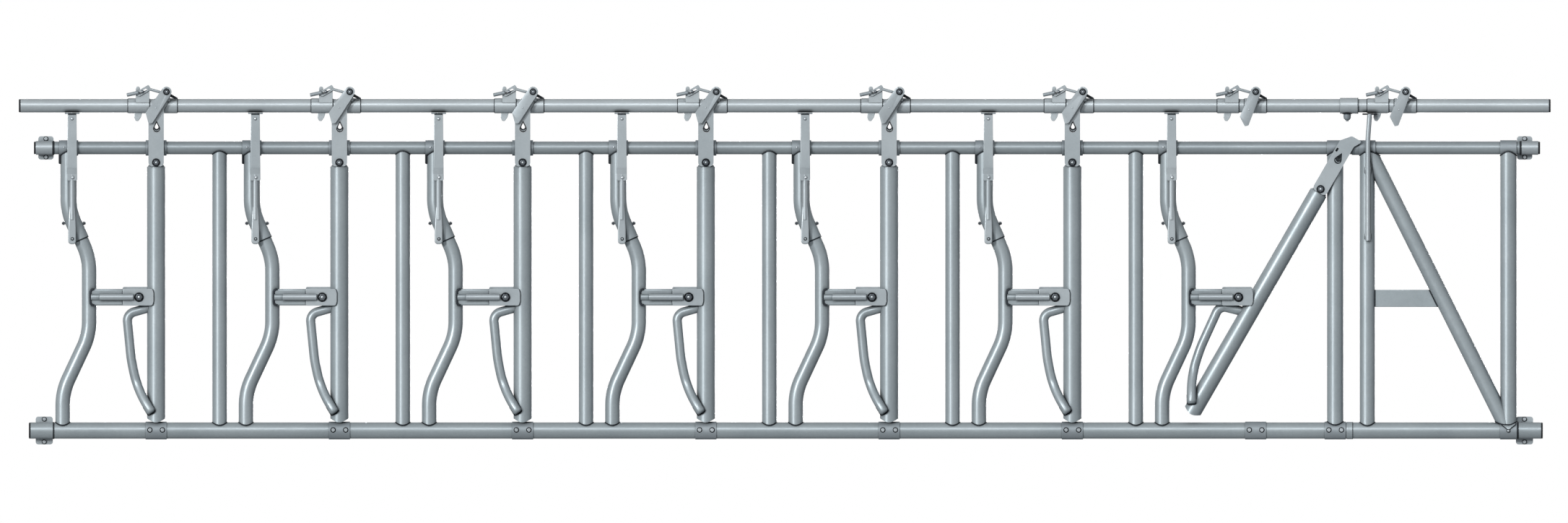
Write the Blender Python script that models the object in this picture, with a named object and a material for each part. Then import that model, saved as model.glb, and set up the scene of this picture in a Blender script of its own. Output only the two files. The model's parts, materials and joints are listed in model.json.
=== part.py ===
"""Self-locking headlock panel with seven places, for a cattle feed barrier.

Frame: X runs along the panel to the right, Y runs away from the viewer and Z is up.
The origin is the centre of the back face of the lower left end clamp, which bolts to a post.
All sizes are in metres.
"""

import math

import bmesh
import bpy
from mathutils import Matrix, Vector

# Clearances
SEAT_GAP = 0.0003
RUN_GAP = 0.0005
MERGE_DISTANCE = 5e-6

# Levels and planes
TUBE_PLANE_Y = -0.038
BOTTOM_RAIL_Z = 0.0
TOP_RAIL_Z = 0.939
CONTROL_Z = 1.079
PIVOT_Z = 0.443

# Places along the panel
PLACES = 7
PITCH = 0.6092
FIRST_NECK_X = 0.1493
PIVOT_FROM_NECK = 0.1656
BAR_FROM_PIVOT = 0.0571
POST_BEFORE_NECK = 0.1755
LAST_PITCH_X = FIRST_NECK_X + PLACES * PITCH
END_POST_X = LAST_PITCH_X - 0.1220
OPEN_PLACE = 6
OPEN_STOP_GAP = 0.002

# Rails: radius, wall and ends
TOP_RAIL_RADIUS = 0.0212
TOP_RAIL_LEFT = -0.0345
TOP_RAIL_RIGHT = LAST_PITCH_X + 0.5593
BOTTOM_RAIL_RADIUS = 0.027
BOTTOM_RAIL_LEFT = -0.0514
BOTTOM_RAIL_RIGHT = LAST_PITCH_X + 0.5683
TUBE_WALL = 0.0032

# Fittings on the rails
TEE_RADIUS = 0.0255
TEE_WIDTH = 0.0643
BRACE_TEE_WIDTH = 0.0552
GUIDE_RADIUS = 0.0257
GUIDE_WIDTH = 0.0696
CASTING_RADIUS = 0.0297
CASTING_WIDTH = 0.0706
OUTER_CASTING_WIDTH = 0.0562
END_SLEEVE_RADIUS = 0.0228
END_SLEEVE_LENGTH = 0.062
JOINT_RING_X = LAST_PITCH_X - 0.0537
JOINT_RING_WIDTH = 0.024
JOINT_RING_RADIUS = 0.0235

# Upright tubes
POST_RADIUS = 0.02415
END_POST_RADIUS = 0.027
SADDLE_DEPTH = 0.011

# Neck tube: a wide upper sleeve over the lower tube, bent in two S bends
NECK_RADIUS = 0.02415
NECK_SLEEVE_RADIUS = 0.027
NECK_TOP_X = -0.0684
NECK_FOOT_X = -0.088
NECK_BEND_RADIUS = 0.205
NECK_UPPER_BEND_Z = (0.729, 0.573)
NECK_LOWER_BEND_Z = (0.318, 0.130)
SLEEVE_SEAM_SHARE = 0.72

# Pivot arm on the neck tube
ARM_HEIGHT = 0.055
ARM_WALL = 0.008
ARM_WELD = 0.001
ARM_START = 0.003
ARM_END_FROM_PIVOT = -0.040
CLEVIS_WALL = 0.006
CLEVIS_START_FROM_PIVOT = -0.0544
CLEVIS_END_FROM_PIVOT = 0.0487
CLEVIS_HEIGHT = 0.056
CLEVIS_CORNER = 0.012
PIVOT_BOLT_RADIUS = 0.010
PIVOT_HEAD_RADIUS = 0.0145
PIVOT_HEAD_DEPTH = 0.010
ARM_ROD_RADIUS = 0.0105
ARM_ROD_LENGTH = 0.1128
ARM_ROD_END_FROM_PIVOT = -0.0187
ARM_ROD_STAND = 0.0115

# Swing bar
BAR_RADIUS = 0.03015
BAR_WALL = 0.0029
BAR_TOP_Z = 0.877
BAR_FOOT_CLEARANCE = 0.0108
BUSH_RADIUS = 0.020
BUSH_LUG_HEIGHT = 0.036
BUSH_LUG_DEPTH = 0.048
PLUG_DEPTH = 0.008
PLUG_LUG_WIDTH = 0.032
PLUG_LUG_THICKNESS = 0.0125
PLUG_LUG_TOP_Z = 0.909
GUARD_RADIUS = 0.0155
GUARD_CORNERS = ((0.046, -0.031), (-0.0405, -0.056), (-0.026, -0.205), (-0.006, -0.305), (0.042, -0.384))
GUARD_BENDS = (0.034, 0.0, 0.0)
GUARD_END_SINK = 0.0055

# Tongue plate on the bar
TONGUE_BACK = 0.028
TONGUE_THICKNESS = 0.006
TONGUE_HALF_WIDTH = 0.0255
TONGUE_BOLT_Z = 0.8904
TONGUE_BOLT_RADIUS = 0.006
TONGUE_HEAD_RADIUS = 0.013
TONGUE_HEAD_DEPTH = 0.006
TONGUE_FOOT_Z = 0.8774
TONGUE_FOOT_CORNER = 0.014
TONGUE_SHOULDER_Z = 1.0625
TONGUE_TOP_Z = 1.095
TONGUE_TOP_LEFT = 0.002
TONGUE_TOP_RIGHT = 0.040
TONGUE_RIGHT_SHOULDER = 0.0275
TONGUE_TOP_CORNER = 0.009
EYE_RADIUS = 0.0122
EYE_CENTRE_Z = 1.0025
EYE_TIP_Z = 1.030
EYE_SHIFT = 0.0015

# Control tube and its latch units, placed from each lever bolt
CONTROL_RADIUS = 0.02225
CONTROL_LEFT = -0.0847
CONTROL_RIGHT = LAST_PITCH_X + 0.5943
COLLAR_RADIUS = 0.025
LEVER_BOLT_FROM_NECK = 0.257
OPEN_LATCH_SHIFT = -0.034
LAST_LATCH_X = LAST_PITCH_X + 0.1122
LEFT_COLLAR = (-0.1274, -0.0566)
RIGHT_COLLAR = (-0.0374, 0.0355)
EAR = (-0.1020, -0.0566)
EAR_TOP = 0.064
EAR_THICKNESS = 0.006
LUG_THICKNESS = 0.012
LUG_FOOT = 0.0165
LEVER_BOLT_RISE = 0.0463
LEVER_BOLT_RADIUS = 0.006
LEVER_BOSS_RADIUS = 0.012
LEVER_HEAD_RADIUS = 0.0125
LEVER_HEAD_DEPTH = 0.005

# Latch lever
LEVER_BACK = 0.045
LEVER_THICKNESS = 0.005
LEVER_TOP_RADIUS = 0.0163
LEVER_END_HALF_WIDTH = 0.0135
LEVER_LENGTH = 0.1236
LEVER_END_CORNER = 0.005
LOCKED_TILT = math.radians(34.0)
OPEN_TILT = math.radians(21.6)
PIN_ALONG = 0.1032
PIN_SIDE = 0.0062
PIN_RADIUS = 0.003
SLOT_HALF_WIDTH = 0.0037
SLOT_HALF_HEIGHT = 0.0070
PIN_DROP = 0.0050

# Selector on the left collar's ear, placed from its bolt
SELECTOR_BOLT_FROM_LEVER = -0.0794
SELECTOR_BOLT_RADIUS = 0.004
SELECTOR_HEAD_RADIUS = 0.007
SELECTOR_HEAD_DEPTH = 0.004
SELECTOR_THICKNESS = 0.005
SELECTOR_PLATE = ((-0.032, -0.020), (0.031, 0.015))
SELECTOR_HALF_WIDTH = 0.0090
SELECTOR_HANDLE = ((-0.0525, -0.0125), (-0.022, -0.0075))
SELECTOR_HANDLE_RADIUS = 0.0075
SELECTOR_ROD = ((0.022, 0.008), (0.0635, -0.0035))
SELECTOR_ROD_RADIUS = 0.005

# Coupling sleeve on the control tube
COUPLING = (LAST_PITCH_X - 0.1064, LAST_PITCH_X - 0.0452)
COUPLING_RADIUS = 0.0262
COUPLING_BOLT_X = LAST_PITCH_X - 0.0821
COUPLING_BOLT_RADIUS = 0.0125
COUPLING_BOLT_BOTTOM = 0.053

# Strut from the neck tube to the control tube, placed from the neck tube
STRUT_X = -0.0566
STRUT_THICKNESS = 0.006
STRUT_TOP_WIDTH = 0.029
STRUT_FOOT_WIDTH = 0.0336
STRUT_BOTTOM_Z = 0.830
SADDLE_PLATE_WIDTH = 0.049
SADDLE_PLATE_THICKNESS = 0.005
SADDLE_PLATE_BACK = 0.012
STRUT_ROD_RADIUS = 0.010
STRUT_ROD_TOP_Z = 0.846
STRUT_ROD_BOTTOM_Z = 0.640
STRUT_PAD_WIDTH = 0.0264
STRUT_PAD_Z = (0.619, 0.667)
STRUT_PAD_THICKNESS = 0.010

# Brace frame at the right end
BRACE_LEFT_X = LAST_PITCH_X - 0.0152
BRACE_RIGHT_X = LAST_PITCH_X + 0.4540
BRACE_LEFT_RADIUS = 0.025
BRACE_RIGHT_RADIUS = 0.027
DIAGONAL_RADIUS = 0.026
BRACE_BORE_WALL = 0.0035
BRACE_END_INSET = 0.013
CROSSBAR_Z = 0.4392
CROSSBAR_HEIGHT = 0.057
CROSSBAR_THICKNESS = 0.012
BRACE_STRUT_X = LAST_PITCH_X - 0.0132
BRACE_STRUT_HEAD_X = LAST_PITCH_X - 0.0072
BRACE_STRUT_RADIUS = 0.008
BRACE_STRUT_KNEE_Z = 0.968
BRACE_STRUT_BOTTOM_Z = 0.630
BRACE_CLIP_Z = (0.645, 0.865)
BRACE_CLIP_HEIGHT = 0.022
BRACE_CLIP_WIDTH = 0.020

# End clamps: rail, centre along X, plate width, plate height, hole spacing
LOWER_CLAMP_WIDTH = 0.057
LOWER_CLAMP_HEIGHT = 0.0926
LOWER_HOLE_SPACING = 0.0754
UPPER_CLAMP_WIDTH = 0.051
UPPER_CLAMP_HEIGHT = 0.0775
UPPER_HOLE_SPACING = 0.0608
CLAMP_PLATE = 0.008
CLAMP_HOLE_RADIUS = 0.0055
CLAMP_SADDLE_HALF_HEIGHT = 0.021
LOWER_RIGHT_CLAMP_X = LAST_PITCH_X + 0.5073
UPPER_LEFT_CLAMP_X = 0.0055
UPPER_RIGHT_CLAMP_X = LAST_PITCH_X + 0.5078

# Faceting
TUBE_SIDES = 10
NECK_SIDES = 8
ROD_SIDES = 8
GUARD_SIDES = 6
PIN_SIDES = 6
ARC_STEPS = 2

# Finishes: base colour, roughness, metallic
GALVANISED = ((0.50, 0.56, 0.60), 0.42, 0.75)
PALE_ZINC = ((0.60, 0.66, 0.69), 0.40, 0.70)
DARK_STEEL = ((0.16, 0.18, 0.20), 0.45, 0.80)


def bore_radius(pin_radius, sides, gap=SEAT_GAP):
    """Radius of a faceted bore whose flats clear a round pin by the gap."""
    return (pin_radius + gap) / math.cos(math.pi / sides)


def neck_x(place):
    """X of the straight middle stretch of a place's neck tube."""
    return FIRST_NECK_X + place * PITCH


def pivot_x(place):
    """X of the pivot bolt of a place."""
    return neck_x(place) + PIVOT_FROM_NECK


def latch_bolt_x(unit):
    """X of the lever bolt of a latch unit; the last unit has no place of its own."""
    if unit == PLACES:
        return LAST_LATCH_X
    shift = OPEN_LATCH_SHIFT if unit == OPEN_PLACE else 0.0
    return neck_x(unit) + LEVER_BOLT_FROM_NECK + shift


def steel(name, finish):
    """A Principled material of its own for one kind of piece."""
    colour, roughness, metallic = finish
    material = bpy.data.materials.new(name)
    material.use_nodes = True
    shader = material.node_tree.nodes["Principled BSDF"]
    shader.inputs["Base Color"].default_value = (*colour, 1.0)
    shader.inputs["Roughness"].default_value = roughness
    shader.inputs["Metallic"].default_value = metallic
    material.diffuse_color = (*colour, 1.0)
    return material


def to_object(name, bm):
    """Closes a bmesh's normals and links it to the scene as an object."""
    bmesh.ops.recalc_face_normals(bm, faces=bm.faces)
    mesh = bpy.data.meshes.new(name)
    bm.to_mesh(mesh)
    bm.free()
    piece = bpy.data.objects.new(name, mesh)
    bpy.context.collection.objects.link(piece)
    return piece


def combine(base, other, operation):
    """Joins another shape to the base or cuts it out, and drops that shape."""
    modifier = base.modifiers.new("join", "BOOLEAN")
    modifier.operation = operation
    modifier.solver = "EXACT"
    modifier.object = other
    bpy.context.view_layer.update()
    graph = bpy.context.evaluated_depsgraph_get()
    result = bpy.data.meshes.new_from_object(base.evaluated_get(graph))
    base.modifiers.clear()
    bm = bmesh.new()
    bm.from_mesh(result)
    bmesh.ops.remove_doubles(bm, verts=bm.verts, dist=MERGE_DISTANCE)
    bmesh.ops.dissolve_degenerate(bm, dist=MERGE_DISTANCE, edges=bm.edges)
    bm.to_mesh(result)
    bm.free()
    old_mesh = base.data
    base.data = result
    bpy.data.meshes.remove(old_mesh)
    bpy.data.meshes.remove(other.data)
    return base


def join(base, *others):
    """Welds shapes to the base."""
    for other in others:
        combine(base, other, "UNION")
    return base


def cut(base, *others):
    """Cuts shapes out of the base."""
    for other in others:
        combine(base, other, "DIFFERENCE")
    return base


def box(x_range, y_range, z_range):
    """An upright block between three pairs of planes."""
    size = [high - low for low, high in (x_range, y_range, z_range)]
    middle = [(low + high) / 2 for low, high in (x_range, y_range, z_range)]
    bm = bmesh.new()
    bmesh.ops.create_cube(bm, size=1.0)
    bmesh.ops.scale(bm, vec=size, verts=bm.verts)
    bmesh.ops.translate(bm, vec=middle, verts=bm.verts)
    return to_object("block", bm)


def rod(start, end, radius, sides=ROD_SIDES):
    """A round bar between two points."""
    start, end = Vector(start), Vector(end)
    turn = Vector((0.0, 0.0, 1.0)).rotation_difference(end - start).to_matrix().to_4x4()
    bm = bmesh.new()
    bmesh.ops.create_cone(
        bm, cap_ends=True, segments=sides, radius1=radius, radius2=radius,
        depth=(end - start).length, matrix=Matrix.Translation((start + end) / 2) @ turn,
    )
    return to_object("rod", bm)


def cross_rod(x, z, y_range, radius, sides=ROD_SIDES):
    """A round bar along Y."""
    return rod((x, y_range[0], z), (x, y_range[1], z), radius, sides)


def stepped_profile(start, end, radius, bore, steps):
    """Profile of a tube along X with collars given as (start, end, radius)."""
    profile = [(start, bore), (start, radius)]
    for step_start, step_end, step_radius in sorted(steps):
        if step_start <= start:
            profile[-1] = (start, step_radius)
        else:
            profile += [(step_start, radius), (step_start, step_radius)]
        if step_end >= end:
            profile += [(end, step_radius), (end, bore)]
            return profile
        profile += [(step_end, step_radius), (step_end, radius)]
    return profile + [(end, radius), (end, bore)]


def turned(name, profile, sides=TUBE_SIDES):
    """A closed profile of (x, radius) points spun about the X axis."""
    bm = bmesh.new()
    points = [bm.verts.new((x, 0.0, radius)) for x, radius in profile]
    edges = [bm.edges.new((points[i - 1], points[i])) for i in range(len(points))]
    bmesh.ops.spin(
        bm, geom=points + edges, axis=(1.0, 0.0, 0.0), cent=(0.0, 0.0, 0.0),
        angle=math.tau, steps=sides, use_merge=True,
    )
    bmesh.ops.remove_doubles(bm, verts=bm.verts, dist=1e-6)
    return to_object(name, bm)


def x_cutter(z, radius, x_range):
    """A bar along X that copes the end of a post to a rail of the given radius."""
    cutter = rod((x_range[0], 0.0, z), (x_range[1], 0.0, z), radius, TUBE_SIDES)
    return align_facets(cutter, z)


def align_facets(cutter, z):
    """Turns a bar along X so that a corner of its outline points up, as on the rails."""
    corner = max(cutter.data.vertices, key=lambda vertex: vertex.co.z)
    angle = math.atan2(corner.co.y, corner.co.z - z)
    centre = Matrix.Translation((0.0, 0.0, z))
    cutter.data.transform(centre @ Matrix.Rotation(angle, 4, "X") @ centre.inverted())
    return cutter


def rounded_path(corners, radii, steps=ARC_STEPS):
    """Points along a line through the corners, each corner rounded by its own radius."""
    points = [Vector(corners[0])]
    for before, corner, after, radius in zip(corners, corners[1:], corners[2:], radii):
        corner = Vector(corner)
        if not radius:
            points.append(corner)
            continue
        into = (corner - Vector(before)).normalized()
        out = (Vector(after) - corner).normalized()
        half_turn = into.angle(out) / 2
        reach = radius * math.tan(half_turn)
        start, end = corner - into * reach, corner + out * reach
        centre = corner + (out - into).normalized() * (radius / math.cos(half_turn))
        side = math.copysign(1.0, into.cross(out))
        for step in range(steps + 1):
            turn = Matrix.Rotation(side * 2 * half_turn * step / steps, 2)
            points.append(centre + turn @ (start - centre))
    return points + [Vector(corners[-1])]


def swept(name, path, radii, sides, wall=None):
    """A tube or bar along a path of (x, z) points, mitred at each, with a radius at each."""
    bm = bmesh.new()
    count = len(path)

    def ring(index, radius):
        before = path[max(index - 1, 0)]
        after = path[min(index + 1, count - 1)]
        into = (path[index] - before) if index else (after - path[index])
        out = (after - path[index]) if index < count - 1 else into
        if into.length < 1e-9:
            into = out
        if out.length < 1e-9:
            out = into
        into, out = into.normalized(), out.normalized()
        along = (into + out).normalized()
        normal = Vector((along.y, -along.x))
        stretch = 1.0 / along.dot(into)
        corners = []
        for k in range(sides):
            angle = math.tau * k / sides
            reach = normal * (radius * stretch * math.cos(angle))
            corners.append(bm.verts.new((path[index].x + reach.x, radius * math.sin(angle),
                                         path[index].y + reach.y)))
        return corners

    def skin(first, second):
        for k in range(sides):
            bm.faces.new((first[k - 1], first[k], second[k], second[k - 1]))

    outer = [ring(i, radii[i]) for i in range(count)]
    for first, second in zip(outer, outer[1:]):
        skin(first, second)
    if wall is None:
        bm.faces.new(outer[0])
        bm.faces.new(outer[-1])
    else:
        bore = min(radii) - wall
        inner = [ring(i, bore) for i in range(count) if radii[i] is not None]
        for first, second in zip(inner, inner[1:]):
            skin(first, second)
        skin(outer[0], inner[0])
        skin(outer[-1], inner[-1])
    bmesh.ops.remove_doubles(bm, verts=bm.verts, dist=1e-6)
    return to_object(name, bm)


def rounded_outline(corners, radii, steps=ARC_STEPS):
    """Points round a closed outline of (x, z) corners, each rounded by its own radius."""
    outline = []
    count = len(corners)
    for i, radius in enumerate(radii):
        trio = (corners[i - 1], corners[i], corners[(i + 1) % count])
        if radius:
            outline += rounded_path(trio, (radius,), steps)[1:-1]
        else:
            outline.append(Vector(corners[i]))
    return outline


def plate(name, outline, y_range):
    """A flat plate of an (x, z) outline between two planes."""
    bm = bmesh.new()
    rim = [bm.verts.new((x, y_range[0], z)) for x, z in outline]
    face = bm.faces.new(rim)
    grown = bmesh.ops.extrude_face_region(bm, geom=[face])
    moved = [item for item in grown["geom"] if isinstance(item, bmesh.types.BMVert)]
    bmesh.ops.translate(bm, vec=(0.0, y_range[1] - y_range[0], 0.0), verts=moved)
    return to_object(name, bm)


def rectangle(x_range, z_range):
    """Corners of an upright rectangle."""
    (left, right), (low, high) = x_range, z_range
    return ((left, low), (right, low), (right, high), (left, high))


def upright_tube(name, x, radius, wall, z_range):
    """An open upright tube."""
    path = [Vector((x, z_range[0])), Vector((x, z_range[1]))]
    return swept(name, path, (radius, radius), TUBE_SIDES, wall)


def finish(piece, name, material):
    """Names a piece and gives it its material."""
    piece.name = name
    piece.data.name = name
    piece.data.materials.clear()
    piece.data.materials.append(material)
    piece.data.shade_smooth()
    piece.data.set_sharp_from_angle(angle=math.radians(35.0))
    return piece


def copies(first, names, places):
    """Puts the first piece and copies that share its mesh at (location, turn about Y)."""
    first.name = names[0]
    pieces = [first]
    for name in names[1:]:
        other = bpy.data.objects.new(name, first.data)
        bpy.context.collection.objects.link(other)
        pieces.append(other)
    for piece, (location, turn) in zip(pieces, places):
        piece.location = location
        piece.rotation_euler = (0.0, turn, 0.0)
    return pieces


def centred(centre, width, radius):
    """A collar step about a centre."""
    return (centre - width / 2, centre + width / 2, radius)


def make_top_rail():
    """Top rail with tees over the uprights and guide sleeves behind the tongues."""
    steps = [centred(neck_x(p) + NECK_TOP_X, TEE_WIDTH, TEE_RADIUS) for p in range(PLACES)]
    steps += [centred(pivot_x(p) + BAR_FROM_PIVOT, GUIDE_WIDTH, GUIDE_RADIUS)
              for p in range(PLACES) if p != OPEN_PLACE]
    steps += [centred(x, BRACE_TEE_WIDTH, TEE_RADIUS) for x in (END_POST_X, BRACE_LEFT_X, BRACE_RIGHT_X)]
    steps.append(centred(JOINT_RING_X, JOINT_RING_WIDTH, JOINT_RING_RADIUS))
    steps.append((TOP_RAIL_LEFT, TOP_RAIL_LEFT + END_SLEEVE_LENGTH, END_SLEEVE_RADIUS))
    steps.append((TOP_RAIL_RIGHT - END_SLEEVE_LENGTH, TOP_RAIL_RIGHT, END_SLEEVE_RADIUS))
    bore = TOP_RAIL_RADIUS - TUBE_WALL
    profile = stepped_profile(TOP_RAIL_LEFT, TOP_RAIL_RIGHT, TOP_RAIL_RADIUS, bore, steps)
    rail = finish(turned("top_rail", profile), "top_rail", steel("top rail steel", GALVANISED))
    rail.location = (0.0, TUBE_PLANE_Y, TOP_RAIL_Z)


def make_bottom_rail():
    """Bottom rail with castings under the bars, the end post and the outer brace post."""
    steps = [centred(pivot_x(p) + BAR_FROM_PIVOT, CASTING_WIDTH, CASTING_RADIUS) for p in range(PLACES)]
    steps.append(centred(END_POST_X, CASTING_WIDTH, CASTING_RADIUS))
    steps.append(centred(BRACE_RIGHT_X, OUTER_CASTING_WIDTH, CASTING_RADIUS))
    bore = BOTTOM_RAIL_RADIUS - TUBE_WALL
    profile = stepped_profile(BOTTOM_RAIL_LEFT, BOTTOM_RAIL_RIGHT, BOTTOM_RAIL_RADIUS, bore, steps)
    rail = finish(turned("bottom_rail", profile), "bottom_rail", steel("bottom rail steel", GALVANISED))
    rail.location = (0.0, TUBE_PLANE_Y, BOTTOM_RAIL_Z)


def latch_fittings(bolt_x):
    """Lug with the lever's bolt and ear with the selector's bolt, for one latch unit."""
    lug_outline = [(bolt_x + dx, dz) for dx, dz in (
        (RIGHT_COLLAR[0] + 0.007, LUG_FOOT), (RIGHT_COLLAR[1] - 0.001, LUG_FOOT),
        (RIGHT_COLLAR[1] - 0.001, LUG_FOOT + 0.006), (0.010, LEVER_BOLT_RISE + 0.010),
        (-0.009, LEVER_BOLT_RISE + 0.010))]
    lug_front = -COLLAR_RADIUS
    lug = plate("lug", lug_outline, (lug_front, lug_front + LUG_THICKNESS))
    boss_front = -LEVER_BACK + RUN_GAP
    head_back = -LEVER_BACK - LEVER_THICKNESS - RUN_GAP
    boss = cross_rod(bolt_x, LEVER_BOLT_RISE, (boss_front, lug_front + LUG_THICKNESS / 2), LEVER_BOSS_RADIUS)
    bolt = cross_rod(bolt_x, LEVER_BOLT_RISE, (head_back - LEVER_HEAD_DEPTH / 2, lug_front),
                     LEVER_BOLT_RADIUS, PIN_SIDES)
    head = cross_rod(bolt_x, LEVER_BOLT_RISE, (head_back - LEVER_HEAD_DEPTH, head_back), LEVER_HEAD_RADIUS)
    ear_front = -COLLAR_RADIUS
    ear_x = (bolt_x + EAR[0], bolt_x + EAR[1])
    ear_outline = rounded_outline(rectangle(ear_x, (0.008, EAR_TOP)), (0.0, 0.0, 0.010, 0.010), 1)
    ear = plate("ear", ear_outline, (ear_front, ear_front + EAR_THICKNESS))
    selector_x = bolt_x + SELECTOR_BOLT_FROM_LEVER
    cap_back = ear_front - 2 * RUN_GAP - SELECTOR_THICKNESS
    pin = cross_rod(selector_x, LEVER_BOLT_RISE, (cap_back - SELECTOR_HEAD_DEPTH / 2, ear_front + RUN_GAP),
                    SELECTOR_BOLT_RADIUS, PIN_SIDES)
    cap = cross_rod(selector_x, LEVER_BOLT_RISE, (cap_back - SELECTOR_HEAD_DEPTH, cap_back),
                    SELECTOR_HEAD_RADIUS, PIN_SIDES)
    return lug, boss, bolt, head, ear, pin, cap


def make_control_tube():
    """Control tube with two collars, a lug and an ear for each latch unit."""
    steps = []
    for unit in range(PLACES + 1):
        for start, end in (LEFT_COLLAR, RIGHT_COLLAR):
            steps.append((latch_bolt_x(unit) + start, latch_bolt_x(unit) + end, COLLAR_RADIUS))
    bore = CONTROL_RADIUS - TUBE_WALL
    tube = turned("control_tube", stepped_profile(CONTROL_LEFT, CONTROL_RIGHT, CONTROL_RADIUS, bore, steps))
    for unit in range(PLACES + 1):
        join(tube, *latch_fittings(latch_bolt_x(unit)))
    finish(tube, "control_tube", steel("control tube steel", GALVANISED))
    tube.location = (0.0, TUBE_PLANE_Y, CONTROL_Z)


def make_coupling():
    """Sleeve that joins the two lengths of the control tube, with a bolt hanging from it."""
    bore = CONTROL_RADIUS + SEAT_GAP
    start, end = COUPLING
    sleeve = turned("tube_coupling", stepped_profile(start, end, COUPLING_RADIUS, bore, []))
    bolt = rod((COUPLING_BOLT_X, 0.0, -COUPLING_BOLT_BOTTOM), (COUPLING_BOLT_X, 0.0, -bore - 0.002),
               COUPLING_BOLT_RADIUS)
    join(sleeve, bolt)
    finish(sleeve, "tube_coupling", steel("coupling steel", GALVANISED))
    sleeve.location = (0.0, TUBE_PLANE_Y, CONTROL_Z)


def make_posts():
    """Straight posts between the places and the end post, coped to both rails."""
    reach = (-2 * END_POST_RADIUS, 2 * END_POST_RADIUS)
    z_range = (BOTTOM_RAIL_Z, TOP_RAIL_Z - SADDLE_DEPTH)
    post = upright_tube("straight_post", 0.0, POST_RADIUS, TUBE_WALL, z_range)
    cut(post, x_cutter(BOTTOM_RAIL_Z, BOTTOM_RAIL_RADIUS + SEAT_GAP, reach),
        x_cutter(TOP_RAIL_Z, TOP_RAIL_RADIUS + SEAT_GAP, reach))
    finish(post, "straight_post", steel("post steel", GALVANISED))
    names = [f"straight_post_{p + 1}" for p in range(PLACES - 1)]
    copies(post, names, [((neck_x(p + 1) - POST_BEFORE_NECK, TUBE_PLANE_Y, 0.0), 0.0) for p in range(PLACES - 1)])
    end_post = upright_tube("end_post", 0.0, END_POST_RADIUS, TUBE_WALL, z_range)
    cut(end_post, x_cutter(BOTTOM_RAIL_Z, CASTING_RADIUS + SEAT_GAP, reach),
        x_cutter(TOP_RAIL_Z, TEE_RADIUS + SEAT_GAP, reach))
    finish(end_post, "end_post", steel("end post steel", GALVANISED))
    end_post.location = (END_POST_X, TUBE_PLANE_Y, 0.0)


def neck_path():
    """Centre line of the neck tube and its radius at each point, wide above the seam."""
    upper, lower = NECK_UPPER_BEND_Z, NECK_LOWER_BEND_Z
    corners = ((NECK_TOP_X, TOP_RAIL_Z - SADDLE_DEPTH), (NECK_TOP_X, upper[0]), (0.0, upper[1]),
               (0.0, lower[0]), (NECK_FOOT_X, lower[1]), (NECK_FOOT_X, BOTTOM_RAIL_Z))
    path = rounded_path(corners, (NECK_BEND_RADIUS,) * 4)
    seam = 1 + ARC_STEPS
    seam_point = path[seam].lerp(path[seam + 1], SLEEVE_SEAM_SHARE)
    path[seam + 1:seam + 1] = [seam_point, seam_point.copy()]
    radii = [NECK_SLEEVE_RADIUS] * (seam + 2) + [NECK_RADIUS] * (len(path) - seam - 2)
    return path, radii


def pivot_arm():
    """Two side bars, two clevis plates, the pivot bolt and the rod on the arm, for one neck tube."""
    half_gap = BAR_RADIUS + SEAT_GAP
    half_height = ARM_HEIGHT / 2
    arm_end = PIVOT_FROM_NECK + ARM_END_FROM_PIVOT
    clevis_start = PIVOT_FROM_NECK + CLEVIS_START_FROM_PIVOT
    clevis_end = PIVOT_FROM_NECK + CLEVIS_END_FROM_PIVOT
    clevis_z = (PIVOT_Z - CLEVIS_HEIGHT / 2, PIVOT_Z + CLEVIS_HEIGHT / 2)
    clevis_outline = rounded_outline(rectangle((clevis_start, clevis_end), clevis_z),
                                     (0.0, CLEVIS_CORNER, CLEVIS_CORNER, 0.0), 2)
    outer = half_gap + CLEVIS_WALL
    shapes = []
    for side in (-1, 1):
        wall = sorted((side * (half_gap - ARM_WALL), side * (half_gap + ARM_WELD)))
        shapes.append(box((ARM_START, arm_end), wall, (PIVOT_Z - half_height, PIVOT_Z + half_height)))
        cheek = sorted((side * half_gap, side * outer))
        shapes.append(plate("clevis", clevis_outline, cheek))
    bolt_reach = (-outer - PIVOT_HEAD_DEPTH / 2, outer + PIVOT_HEAD_DEPTH / 2)
    shapes.append(cross_rod(PIVOT_FROM_NECK, PIVOT_Z, bolt_reach, PIVOT_BOLT_RADIUS))
    for side in (-1, 1):
        head = sorted((side * (outer - 0.001), side * (outer + PIVOT_HEAD_DEPTH)))
        shapes.append(cross_rod(PIVOT_FROM_NECK, PIVOT_Z, head, PIVOT_HEAD_RADIUS, 6))
    rod_end = PIVOT_FROM_NECK + ARM_ROD_END_FROM_PIVOT
    rod_y = -(half_gap + ARM_ROD_STAND)
    shapes.append(rod((rod_end - ARM_ROD_LENGTH, rod_y, PIVOT_Z), (rod_end, rod_y, PIVOT_Z), ARM_ROD_RADIUS))
    return shapes


def make_neck_tubes():
    """S-bent neck tubes with the pivot arms welded on."""
    path, radii = neck_path()
    tube = swept("neck_tube", path, radii, NECK_SIDES, TUBE_WALL)
    reach = (2 * NECK_FOOT_X, -2 * NECK_FOOT_X)
    cut(tube, x_cutter(BOTTOM_RAIL_Z, BOTTOM_RAIL_RADIUS + SEAT_GAP, reach),
        x_cutter(TOP_RAIL_Z, TEE_RADIUS + SEAT_GAP, reach))
    arm = pivot_arm()
    join(tube, *arm)
    finish(tube, "neck_tube", steel("neck tube steel", GALVANISED))
    names = [f"neck_tube_{p + 1}" for p in range(PLACES)]
    copies(tube, names, [((neck_x(p), TUBE_PLANE_Y, 0.0), 0.0) for p in range(PLACES)])


def guard_end_stand():
    """How far the guard rod's lower end stands in front of the bar's axis, on the bar's round."""
    from_axis = BAR_RADIUS + GUARD_RADIUS - GUARD_END_SINK
    return math.sqrt(from_axis ** 2 - (BAR_FROM_PIVOT - GUARD_CORNERS[-1][0]) ** 2)


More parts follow.
